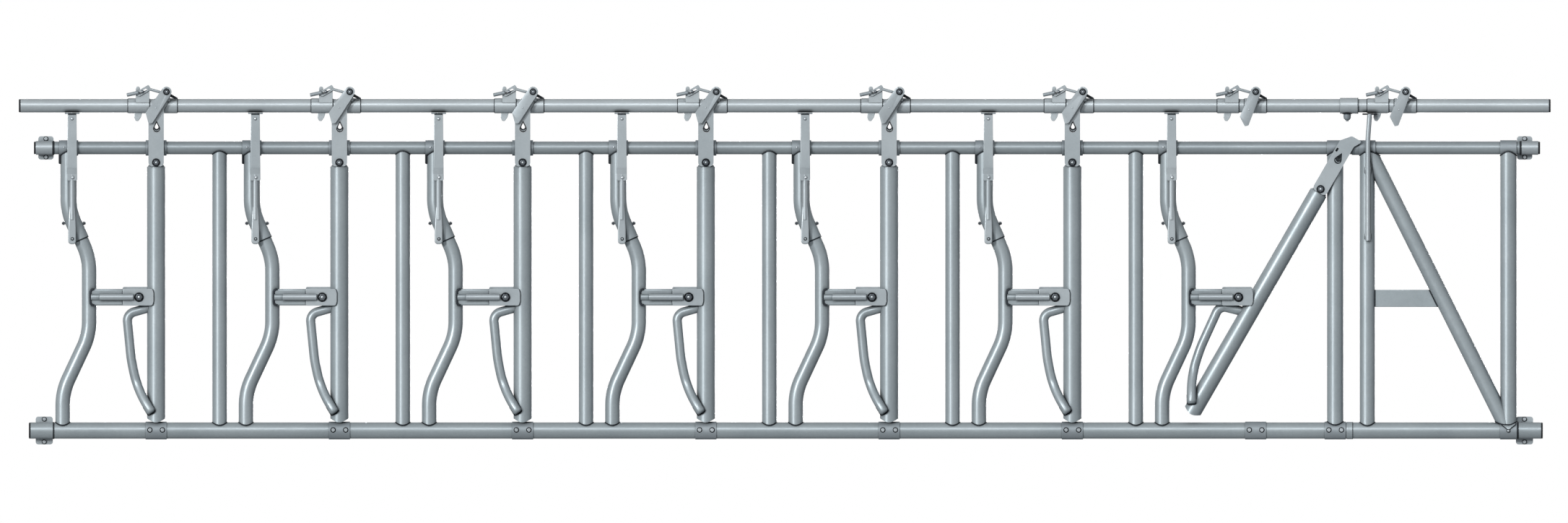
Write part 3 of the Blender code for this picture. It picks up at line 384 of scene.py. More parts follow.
def path_frames(path: Sequence[Vector]) -> list[Matrix]:
    """Frames along a path, with Z along it and no twist between them.

    Args:
        path: Points along the axis.

    Returns:
        A frame at each point.
    """
    frames = []
    heading = (path[1] - path[0]).normalized()
    turn = Vector((0.0, 0.0, 1.0)).rotation_difference(heading)
    for index, point in enumerate(path):
        into = point - path[index - 1] if index else path[1] - point
        out = path[index + 1] - point if index < len(path) - 1 else into
        ahead = (into.normalized() + out.normalized()).normalized()
        turn = heading.rotation_difference(ahead) @ turn
        heading = ahead
        frames.append(Matrix.Translation(point) @ turn.to_matrix().to_4x4())
    return frames


def extruded_ring(form: Form, edges: Sequence[bmesh.types.BMEdge]) -> tuple[
        set[bmesh.types.BMVert], list[bmesh.types.BMEdge]]:
    """Extrudes a ring of edges on the spot.

    Args:
        form: The mesh that grows.
        edges: The ring.

    Returns:
        The vertices and the edges of the new ring.
    """
    grown = bmesh.ops.extrude_edge_only(form, edges=edges)["geom"]
    ring = {item for item in grown if isinstance(item, bmesh.types.BMVert)}
    rim = [item for item in grown if isinstance(item, bmesh.types.BMEdge)
           and item.verts[0] in ring and item.verts[1] in ring]
    return ring, rim


def round_bar(path: Sequence[Vector], radius: float, sides: int = ROD_SIDES, ripple: float = 0.0,
              capped: bool = True) -> Form:
    """A round bar that follows a path.

    Args:
        path: Points along the axis.
        radius: Radius of the bar.
        sides: Facets round the bar.
        ripple: Share by which every other ring is larger, as on a weld bead.
        capped: Whether both ends are closed.

    Returns:
        The bar as a new mesh. Without caps its two end rings are open.
    """
    form = bmesh.new()
    stages = []
    for index, frame in enumerate(path_frames(path)):
        swell = 1.0 + (ripple if index % 2 else -ripple)
        stages.append(frame @ Matrix.Diagonal((swell, swell, 1.0, 1.0)))
    bmesh.ops.create_circle(form, cap_ends=capped, radius=radius, segments=sides, matrix=stages[0])
    edges = list(form.edges)
    for before, after in zip(stages, stages[1:]):
        ring, edges = extruded_ring(form, edges)
        bmesh.ops.transform(form, matrix=after @ before.inverted(), verts=list(ring))
    if capped:
        bmesh.ops.contextual_create(form, geom=edges)
    return recalculated(form)


def turned(profile: Outline, sides: int = TUBE_SIDES, closed: bool = False) -> Form:
    """Spins a profile of (x, radius) points about the X axis.

    Args:
        profile: Points of the profile in order.
        sides: Facets round the axis.
        closed: Whether the profile is a loop off the axis.

    Returns:
        The turned form as a new mesh.
    """
    form = bmesh.new()
    points = [form.verts.new((x, 0.0, radius)) for x, radius in profile]
    pairs = list(zip(points, points[1:]))
    if closed:
        pairs.append((points[-1], points[0]))
    edges = [form.edges.new(pair) for pair in pairs]
    bmesh.ops.spin(form, geom=points + edges, axis=(1.0, 0.0, 0.0), cent=(0.0, 0.0, 0.0),
                   angle=math.tau, steps=sides, use_merge=True)
    bmesh.ops.remove_doubles(form, verts=form.verts, dist=MERGE_DISTANCE)
    return recalculated(form)


def soften(form: Form, width: float, segments: int = 2,
           limit: float = math.radians(40.0)) -> Form:
    """Bevels every edge that is sharper than the limit.

    Args:
        form: The mesh.
        width: Width of the rounding.
        segments: Its number of steps.
        limit: Edges flatter than this stay as they are.

    Returns:
        The same mesh.
    """
    edges = [edge for edge in form.edges
             if len(edge.link_faces) == 2 and edge.calc_face_angle(0.0) > limit]
    bmesh.ops.bevel(form, geom=edges, offset=width, offset_type="OFFSET", affect="EDGES",
                    segments=segments, profile=0.5, material=-1, clamp_overlap=True)
    return form


def flat_plate(outline: Outline, front: float, back: float, bevel: float = 0.0008,
               holes: Iterable[Outline] = ()) -> Form:
    """A flat plate of an (x, z) outline.

    Args:
        outline: Points round the plate.
        front: Y of the face that the viewer sees.
        back: Y of the face behind.
        bevel: Width of the softened edges.
        holes: Outlines of the holes.

    Returns:
        The plate as a new mesh.
    """
    form = bmesh.new()
    rims = []
    loops = [outline, *holes]
    for loop in loops:
        corners = [form.verts.new((x, front, z)) for x, z in loop]
        rims += [form.edges.new((corners[i - 1], corners[i])) for i in range(len(corners))]
    if len(loops) > 1:
        bmesh.ops.triangle_fill(form, edges=rims, use_beauty=True, use_dissolve=False)
    else:
        bmesh.ops.contextual_create(form, geom=rims)
    grown = bmesh.ops.extrude_face_region(form, geom=list(form.faces))["geom"]
    moved = [item for item in grown if isinstance(item, bmesh.types.BMVert)]
    bmesh.ops.translate(form, vec=(0.0, back - front, 0.0), verts=moved)
    return soften(recalculated(form), bevel)


def block(x: Point, y: Point, z: Point, bevel: float = 0.001) -> Form:
    """An upright block between three pairs of planes, with softened edges.

    Args:
        x: Its start and end in X.
        y: Its front and back.
        z: Its bottom and top.
        bevel: Width of its rounded edges.

    Returns:
        A new mesh.
    """
    form = bmesh.new()
    bmesh.ops.create_cube(form, size=1.0)
    bmesh.ops.scale(form, vec=[high - low for low, high in (x, y, z)], verts=form.verts)
    bmesh.ops.translate(form, vec=[(low + high) / 2 for low, high in (x, y, z)], verts=form.verts)
    return soften(recalculated(form), bevel)


def circle(x: float, z: float, radius: float, sides: int = ROD_SIDES) -> list[Point]:
    """Points round a circle."""
    turns = (math.tau * k / sides for k in range(sides))
    return [(x + radius * math.cos(turn), z + radius * math.sin(turn)) for turn in turns]


def resampled(path: Sequence[Vector], spacing: float) -> list[Vector]:
    """Points at an even spacing along a path.

    Args:
        path: Points along the axis.
        spacing: Distance between the new points.

    Returns:
        The new points.
    """
    points = [path[0].copy()]
    carried = 0.0
    for start, end in zip(path, path[1:]):
        length = (end - start).length
        while carried + length >= spacing:
            start = start.lerp(end, (spacing - carried) / length)
            length = (end - start).length
            carried = 0.0
            points.append(start.copy())
            if length < SHORTEST_STEP:
                break
        carried += length
    return points


def bead(path: Sequence[Vector], radius: float = 0.0024) -> Form:
    """A weld bead along a path, with the ripples of its run."""
    return round_bar(resampled(path, radius * 0.8), radius, BEAD_SIDES, ripple=RIPPLE)


def ring_path(centre: Vector, radius: float) -> list[Vector]:
    """Points round a circle whose axis runs along X."""
    arm = Vector((0.0, 0.0, radius))
    return [centre + Matrix.Rotation(math.tau * k / RING_STEPS, 3, "X") @ arm
            for k in range(RING_STEPS + 1)]


def cope(verts: Iterable[bmesh.types.BMVert], direction: Vector, level: float, radius: float,
         wrap: float, sense: int) -> None:
    """Slides an end ring along its tube until it lies on a rail.

    Args:
        verts: The end ring, with Y measured from the plane of the tubes.
        direction: The way the tube runs.
        level: Z of the rail's axis.
        radius: Radius of the rail.
        wrap: Share of the ring's depth that counts, less than 1 for a shallow saddle.
        sense: 1 for the rail's upper side, -1 for its lower side.
    """
    for vert in verts:
        height = math.sqrt(max(radius ** 2 - (wrap * vert.co.y) ** 2, 0.0))
        reach = (level + sense * height - vert.co.z) / direction.z
        vert.co += direction * reach


@dataclass(frozen=True)
class Saddle:
    """The rail that a tube's end is cut to, and how deep the cut is in front."""

    level: float
    radius: float
    depth: float

    def wrap(self, tube: float) -> float:
        """Share of the tube's depth that the cut follows.

        Args:
            tube: Radius of the tube that ends here.

        Returns:
            The share that leaves the cut's front edge at the saddle's depth.
        """
        return math.sqrt(max(self.radius ** 2 - self.depth ** 2, 0.0)) / tube


def coped_tube(path: Sequence[Vector], radius: float, foot: Optional[Saddle] = None,
               head: Optional[Saddle] = None) -> tuple[Form, list[list[Vector]]]:
    """A tube whose ends are saddle-cut onto rails.

    Args:
        path: Points along the axis, from the foot to the head.
        radius: Outer radius.
        foot: The rail below.
        head: The rail above.

    Returns:
        The tube, and the closed path of each saddle-cut end for its weld.
    """
    form = round_bar(path, radius, TUBE_SIDES, capped=False)
    form.verts.ensure_lookup_table()
    ends = (list(form.verts[:TUBE_SIDES]), list(form.verts[-TUBE_SIDES:]))
    seams = []
    runs = ((path[1] - path[0]).normalized(), (path[-1] - path[-2]).normalized())
    for verts, run, rail, sense in zip(ends, runs, (foot, head), (1, -1)):
        if rail is None:
            continue
        cope(verts, run, rail.level, rail.radius, rail.wrap(radius), sense)
        centre = sum((v.co for v in verts), Vector()) / len(verts)
        ordered = sorted(verts, key=lambda v: math.atan2(v.co.y - centre.y, v.co.x - centre.x))
        seam = [v.co.copy() for v in ordered]
        seams.append(seam + seam[:2])
        close_against(form, verts, run, rail, sense)
    return recalculated(form), seams


def close_against(form: Form, verts: Sequence[bmesh.types.BMVert], run: Vector,
                  rail: Saddle, sense: int) -> None:
    """Closes a saddle-cut end with a lip that leans in until it lies on the rail.

    Args:
        form: The tube.
        verts: The ring at its cut end.
        run: The way the tube runs.
        rail: The rail that the end sits on.
        sense: 1 for the rail's upper side, -1 for its lower side.
    """
    ring = set(verts)
    rim = [edge for edge in form.edges if edge.verts[0] in ring and edge.verts[1] in ring]
    centre = sum((v.co for v in verts), Vector()) / len(verts)
    lip, inner = extruded_ring(form, rim)
    for vert in lip:
        flat = Vector((vert.co.x - centre.x, vert.co.y, 0.0)) * LIP_SHARE
        vert.co = Vector((centre.x + flat.x, flat.y, vert.co.z))
    cope(lip, run, rail.level, rail.radius, 1.0, sense)
    bmesh.ops.edgeloop_fill(form, edges=inner)


class Shape:
    """A piece under construction, put together from forms with a finish each."""

    def __init__(self) -> None:
        """Starts with nothing in it."""
        self.mesh = bmesh.new()
        self.finishes: list[MetalFinish] = []

    def add(self, form: Form, finish: MetalFinish, place: Matrix = Matrix()) -> "Shape":
        """Moves a form into place, gives it its finish and adds it.

        Args:
            form: The form, which is used up.
            finish: What it is finished in.
            place: Where it goes.

        Returns:
            This shape.
        """
        if finish not in self.finishes:
            self.finishes.append(finish)
        for face in form.faces:
            face.material_index = self.finishes.index(finish)
        bmesh.ops.transform(form, matrix=place, verts=form.verts)
        carrier = bpy.data.meshes.new("carrier")
        form.to_mesh(carrier)
        form.free()
        self.mesh.from_mesh(carrier)
        bpy.data.meshes.remove(carrier)
        return self

    def take(self) -> bpy.types.Mesh:
        """Hands over the finished mesh.

        Returns:
            The mesh.
        """
        mesh = bpy.data.meshes.new("piece")
        self.mesh.to_mesh(mesh)
        self.mesh.free()
        return mesh


class Workshop:
    """Dresses finished shapes and hangs them on the frame's bodies."""

    def __init__(self) -> None:
        """Starts with no material mixed."""
        self.materials: dict[str, bpy.types.Material] = {}

    def material(self, finish: MetalFinish) -> bpy.types.Material:
        """The material of a finish, mixed once."""
        if finish.name not in self.materials:
            self.materials[finish.name] = finish.material()
        return self.materials[finish.name]

    def deliver(self, shape: Shape, runs: Sequence[Run], replaces: bool = False) -> None:
        """Puts copies of a shape where they belong.

        Args:
            shape: The finished shape, which is used up.
            runs: Name, body and place of each copy.
            replaces: Whether each copy stands for the node of its name.
        """
        finishes = shape.finishes
        master = shape.take()
        for name, body, place in runs:
            mesh = master.copy()
            mesh.name = name
            mesh.transform(place)
            for finish in finishes:
                mesh.materials.append(self.material(finish))
            mesh.shade_smooth()
            mesh.set_sharp_from_angle(angle=SHARP_ANGLE)
            piece = bpy.data.objects.new(name if not replaces else f"{name}_fine", mesh)
            bpy.context.collection.objects.link(piece)
            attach(piece, body)
            if replaces:
                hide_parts(name)
        bpy.data.meshes.remove(master)
        LOG.info("%s and %d more", runs[0][0], len(runs) - 1)


def numbered(stem: str, places: Iterable[Matrix], body: str = "frame") -> list[Run]:
    """Names the copies of a piece and gives each its body.

    Args:
        stem: Name of the piece without its number.
        places: Where each copy goes, in order.
        body: The body of the copies. If it ends with _, each copy's number is added to it.

    Returns:
        Name, body and place of each copy.
    """
    return [(f"{stem}_{number}", f"{body}{number}" if body.endswith("_") else body, place)
            for number, place in enumerate(places, 1)]


@dataclass(frozen=True)
class HexBolt:
    """A hexagon bolt or nut with its washer, modelled along +X from the face it lies on."""

    shank: float
    head: float
    height: float
    washer: float = 0.0
    washer_height: float = 0.0016
    thread: float = 0.0
    # centre: radius of a bright dome on the head, a painted highlight; 0 for none
    centre: float = 0.0
    edge: float = 0.0003
    chamfer: float = 0.0008
    dome_share: float = 0.55
    rim_share: float = 0.9
    corner_share: float = 0.11

    def add(self, shape: Shape, place: Matrix, finish: MetalFinish = Finishes.bolt,
            washer_finish: MetalFinish = Finishes.dark) -> None:
        """Adds the washer, the head, a bright dome on the head as a painted highlight, and the end of the
        thread.

        Args:
            shape: The shape that takes them.
            place: Where the face is, with X pointing out of it.
            finish: Finish of the head and thread.
            washer_finish: Finish of the washer.
        """
        base = 0.0
        if self.washer:
            top = self.washer_height
            profile = ((0.0, self.shank), (0.0, self.washer), (top - self.edge, self.washer),
                       (top, self.washer - self.edge), (top, self.shank))
            shape.add(turned(profile, ROD_SIDES, closed=True), washer_finish, place)
            base = self.washer_height
        shape.add(self._hexagon(base), finish, place)
        # Painted highlight: a small bright dome in the middle of the head stands for the glint on it
        if self.centre:
            crown = Matrix.Translation((base + self.height - self.edge, 0.0, 0.0))
            shape.add(rivet(self.centre, self.centre * self.dome_share), Finishes.bolt, place @ crown)
        if self.thread:
            tip = base + self.height + self.thread
            profile = ((base, 0.0), (base, self.shank), (tip - self.chamfer, self.shank),
                       (tip, self.shank - self.chamfer), (tip, 0.0))
            shape.add(turned(profile, ROD_SIDES), finish, place)

    def _hexagon(self, base: float) -> Form:
        """The six-sided head with its corners turned down.

        Args:
            base: Where it starts along X.

        Returns:
            A new mesh.
        """
        form = bmesh.new()
        middle = Matrix.Translation((base + self.height / 2, 0, 0))
        turn = Matrix.Rotation(math.radians(90.0), 4, "Y")
        bmesh.ops.create_cone(form, cap_ends=True, segments=6, radius1=self.head, radius2=self.head,
                              depth=self.height, matrix=middle @ turn)
        level = base + self.height * self.rim_share
        rim = [edge for edge in form.edges if all(v.co.x > level for v in edge.verts)]
        bmesh.ops.bevel(form, geom=rim, offset=self.head * self.corner_share, offset_type="OFFSET",
                        affect="EDGES", segments=2, profile=0.5, material=-1, clamp_overlap=True)
        return recalculated(form)


def facing(x: float, y: float, z: float, side: Side = Side.FRONT, spin: float = 0.0) -> Matrix:
    """A spot whose X points out of the panel's front or back."""
    aim = Matrix.Rotation(side.value * math.pi / 2, 4, "Z")
    return Matrix.Translation((x, y, z)) @ aim @ Matrix.Rotation(spin, 4, "X")


def rivet(radius: float, height: float) -> Form:
    """A domed rivet head along +X.

    Args:
        radius: Its radius.
        height: Height of the dome.

    Returns:
        A new mesh.
    """
    profile = [(-RIVET_SINK, 0.0), (-RIVET_SINK, radius)]
    for k in range(RIVET_STEPS + 1):
        turn = math.pi / 2 * k / RIVET_STEPS
        profile.append((height * math.sin(turn), radius * math.cos(turn)))
    profile[-1] = (height, 0.0)
    return turned(profile, ROD_SIDES)


def pin(start: float, end: float, radius: float) -> Form:
    """A plain round pin along X."""
    return turned(((start, 0.0), (start, radius), (end, radius), (end, 0.0)), ROD_SIDES)


def weld_tube(shape: Shape, path: Sequence[Vector], radius: float, foot: Saddle, head: Saddle) -> None:
    """Adds a tube that is saddle-cut onto two rails, with a weld round each end.

    Args:
        shape: The shape that takes them.
        path: Points along the tube's axis, from the foot to the head.
        radius: Outer radius of the tube.
        foot: The rail below.
        head: The rail above.
    """
    tube, seams = coped_tube(path, radius, foot, head)
    shape.add(tube, Finishes.galvanised)
    for seam in seams:
        shape.add(bead(seam, TUBE_WELD), Finishes.weld)


@dataclass(frozen=True)
class Collar:
    """A sleeve round a rail, from one X to another, with softened rims."""

    start: float
    end: float
    radius: float
    finish: MetalFinish = Finishes.casting
    edge: float = 0.0012
    corner_share: float = 0.3

    def form(self, inside: float) -> Form:
        """The sleeve as a mesh about the X axis, from an inner radius outwards.

        Args:
            inside: Inner radius.

        Returns:
            A new mesh.
        """
        edge = self.edge
        corner = edge * self.corner_share
        profile = ((self.start, inside), (self.start, self.radius - edge),
                   (self.start + corner, self.radius - corner), (self.start + edge, self.radius),
                   (self.end - edge, self.radius), (self.end - corner, self.radius - corner),
                   (self.end, self.radius - edge), (self.end, inside))
        return turned(profile, closed=True)


def collars_at(centres: Iterable[float], width: float, radius: float,
               finish: MetalFinish = Finishes.casting) -> tuple[Collar, ...]:
    """Collars of one width about their centres."""
    return tuple(Collar(x - width / 2, x + width / 2, radius, finish) for x in centres)


def dark_ring(start: float, end: float, radius: float) -> Collar:
    """A narrow dark ring, as where two tubes meet."""
    return Collar(start, end, radius, Finishes.dark, edge=0.0006)


@dataclass(frozen=True)
class Rail:
    """A tube along the panel with fittings clamped on it and a cap in each end."""

    name: str
    body: str
    level: float
    start: float
    end: float
    radius: float
    finish: MetalFinish
    collars: tuple[Collar, ...] = ()
    bore: float = 0.0032
    cap: float = 0.006
    cap_set_back: float = 0.0004
    plug_depths: float = 3.5
    blind_depth: float = 0.03
    collar_sink: float = 0.001

    def build(self, workshop: Workshop) -> None:
        """Builds the tube, its fittings and its end caps.

        Args:
            workshop: Dresses and hangs the pieces.
        """
        place = LAYOUT.along(0.0, self.level)
        shape = Shape().add(self._tube(), self.finish, place)
        for collar in self.collars:
            shape.add(collar.form(self.radius - self.collar_sink), collar.finish, place)
        workshop.deliver(shape, [(self.name, self.body, Matrix())], replaces=True)
        for word, x, sense in (("left", self.start, 1.0), ("right", self.end, -1.0)):
            cap = Shape().add(self._cap(x, sense), Finishes.plug, place)
            workshop.deliver(cap, [(f"{self.name}_{word}_cap", self.body, Matrix())])

    def _tube(self) -> Form:
        """The tube between its caps, open at both ends as deep as the eye reaches.

        Returns:
            A new mesh.
        """
        first, last, inside = self.start + self.cap, self.end - self.cap, self.radius - self.bore
        blind = self.blind_depth
        profile = ((first + blind, 0.0), (first + blind, inside), (first, inside), (first, self.radius),
                   (last, self.radius), (last, inside), (last - blind, inside), (last - blind, 0.0))
        return turned(profile)

    def _cap(self, x: float, sense: float) -> Form:
        """A cap that is pressed into the tube, with a thick rim.

        Args:
            x: X of its outer face.
            sense: Which way it goes into the tube.

        Returns:
            A new mesh.
        """
        radius = self.radius - self.cap_set_back
        inside = self.radius - self.bore - SEAT_GAP
        depth = self.cap * sense
        plug = x + self.plug_depths * depth
        profile = ((plug, 0.0), (plug, inside), (x + depth, inside), (x + depth, radius),
                   (x + depth * 0.25, radius), (x, radius - abs(depth) * 0.3), (x, 0.0))
        return turned(profile)


@dataclass(frozen=True)
class RailSet:
    """The two rails of the frame with their tees, guide sleeves and bolted castings."""

    top_span: Point = (-0.0345, 4.973)
    top_radius: float = 0.0212
    bottom_span: Point = (-0.0514, 4.982)
    bottom_radius: float = 0.027
    bottom_bore: float = 0.004
    tee_radius: float = 0.0255
    tee_width: float = 0.0643
    brace_tee_width: float = 0.0552
    guide_radius: float = 0.0257
    guide_width: float = 0.0696
    casting_radius: float = 0.0297
    casting_width: float = 0.0706
    outer_casting_width: float = 0.0562
    neck_top: float = -0.0684
    sleeve_ends: Point = (-0.0285, 4.967)
    sleeve_radius: float = 0.0228
    sleeve_length: float = 0.062
    top_joint: Collar = Collar(4.348, 4.372, 0.0235)
    top_rings: tuple[Collar, ...] = (dark_ring(4.3470, 4.3484, 0.0238), dark_ring(4.3716, 4.3730, 0.0238),
                                     dark_ring(0.0275, 0.0335, 0.0236), dark_ring(4.905, 4.911, 0.0236))
    bottom_joint: Collar = Collar(4.3290, 4.3495, 0.0286, Finishes.galvanised)
    bottom_rings: tuple[Collar, ...] = (dark_ring(0.0285, 0.0335, 0.0283),
                                        dark_ring(4.8965, 4.9015, 0.0283),
                                        dark_ring(4.3492, 4.3506, 0.0288))
    bolt_offset: float = 0.0209
    bolt_sink: float = 0.0008
    bolt_level: float = 0.002
    tab: tuple[Point, ...] = ((-0.0332, -0.0180), (-0.0262, -0.0180), (-0.0262, -0.0548), (-0.0332, -0.0520))
    tab_half_depth: float = 0.0110
    tab_screw: Point = (-0.0154, 0.0018)

    def build(self, workshop: Workshop) -> None:
        """Builds both rails and the bolts of their fittings.

        Args:
            workshop: Dresses and hangs the pieces.
        """
        self._top_rail().build(workshop)
        self._bottom_rail().build(workshop)
        self._casting_bolts(workshop)
        self._tee_tabs(workshop)

    def _top_rail(self) -> Rail:
        """The upper rail with its tees, its guide sleeves and the sleeves under the end clamps.

        Returns:
            The rail.
        """
        panel = range(LAYOUT.places)
        closed = [LAYOUT.bar(p) for p in panel if p != LAYOUT.open_place]
        tees = [LAYOUT.neck(p) + self.neck_top for p in panel]
        collars = collars_at(tees, self.tee_width, self.tee_radius)
        collars += collars_at(closed, self.guide_width, self.guide_radius)
        collars += collars_at([LAYOUT.end_post, LAYOUT.brace_left, LAYOUT.brace_right],
                              self.brace_tee_width, self.tee_radius)
        (left, right), (outer_left, outer_right) = self.sleeve_ends, self.top_span
        collars += (Collar(left, outer_left + self.sleeve_length, self.sleeve_radius, Finishes.bright),
                    Collar(outer_right - self.sleeve_length, right, self.sleeve_radius, Finishes.bright),
                    self.top_joint)
        return Rail("top_rail", "frame", LAYOUT.top, *self.top_span, self.top_radius, Finishes.top_rail,
                    collars + self.top_rings)

    def _bottom_rail(self) -> Rail:
        """The lower rail with its castings and its joint.

        Returns:
            The rail.
        """
        centres = [LAYOUT.bar(p) for p in range(LAYOUT.places)] + [LAYOUT.end_post]
        collars = collars_at(centres, self.casting_width, self.casting_radius)
        collars += collars_at([LAYOUT.brace_right], self.outer_casting_width, self.casting_radius)
        collars += (self.bottom_joint,)
        return Rail("bottom_rail", "frame", LAYOUT.bottom, *self.bottom_span, self.bottom_radius,
                    Finishes.galvanised, collars + self.bottom_rings, bore=self.bottom_bore)

    def _casting_bolts(self, workshop: Workshop) -> None:
        """The two bolts in the front of each casting.

        Args:
            workshop: Dresses and hangs the pieces.
        """
        shape = Shape()
        bolt = HexBolt(0.004, 0.0066, 0.0046, washer=0.0090, washer_height=0.0012)
        for offset in (-self.bolt_offset, self.bolt_offset):
            front = LAYOUT.plane - self.casting_radius + self.bolt_sink
            bolt.add(shape, facing(offset, front, LAYOUT.bottom + self.bolt_level))
        centres = [LAYOUT.bar(p) for p in range(LAYOUT.places)] + [LAYOUT.end_post]
        places = [Matrix.Translation((x, 0.0, 0.0)) for x in centres]
        workshop.deliver(shape, numbered("casting_bolts", places))

    def _tee_tabs(self, workshop: Workshop) -> None:
        """The clamp tab under each neck tube's tee, with its screw.

        Args:
            workshop: Dresses and hangs the pieces.
        """
        outline = rounded(self.tab, (0.0, 0.0, 0.0020, 0.0030))
        shape = Shape().add(flat_plate(outline, -self.tab_half_depth, self.tab_half_depth), Finishes.dark)
        x, z = self.tab_screw
        shape.add(rivet(0.0036, 0.0022), Finishes.bolt, facing(x, -self.tee_radius + 0.0004, z))
        places = [LAYOUT.along(LAYOUT.neck(p) + self.neck_top, LAYOUT.top) for p in range(LAYOUT.places)]
        workshop.deliver(shape, numbered("tee_tab", places))


class Seats:
    """The rails and fittings that the upright tubes are cut to."""

    bottom_rail = Saddle(LAYOUT.bottom, 0.0271, 0.0175)
    shallow_bottom_rail = Saddle(LAYOUT.bottom, 0.0271, 0.0165)
    casting = Saddle(LAYOUT.bottom, 0.0298, 0.0190)
    top_rail = Saddle(LAYOUT.top, 0.0213, 0.0109)
    tee = Saddle(LAYOUT.top, 0.0256, 0.0125)
    shallow_tee = Saddle(LAYOUT.top, 0.0256, 0.0115)


@dataclass(frozen=True)
class Posts:
    """The straight posts between the places and the end post."""

    radius: float = 0.02415
    end_radius: float = 0.027
    inset: float = 0.02

    def build(self, workshop: Workshop) -> None:
        """Builds the posts with the welds at their saddle-cut ends.

        Args:
            workshop: Dresses and hangs the pieces.
        """
        straight = self._post(self.radius, Seats.bottom_rail, Seats.top_rail)
        places = [LAYOUT.along(LAYOUT.neck(p) + LAYOUT.post_from_neck) for p in range(LAYOUT.places - 1)]
        workshop.deliver(straight, numbered("straight_post", places), replaces=True)
        end = self._post(self.end_radius, Seats.casting, Seats.tee)
        workshop.deliver(end, [("end_post", "frame", LAYOUT.along(LAYOUT.end_post))], replaces=True)

    def _post(self, radius: float, foot: Saddle, head: Saddle) -> Shape:
        """One upright tube between two rails, welded to both.

        Args:
            radius: Its radius.
            foot: The rail below.
            head: The rail above.

        Returns:
            The dressed shape.
        """
        levels = (foot.level + self.inset, (foot.level + head.level) / 2, head.level - self.inset)
        shape = Shape()
        weld_tube(shape, in_plane([(0.0, level) for level in levels]), radius, foot, head)
        return shape


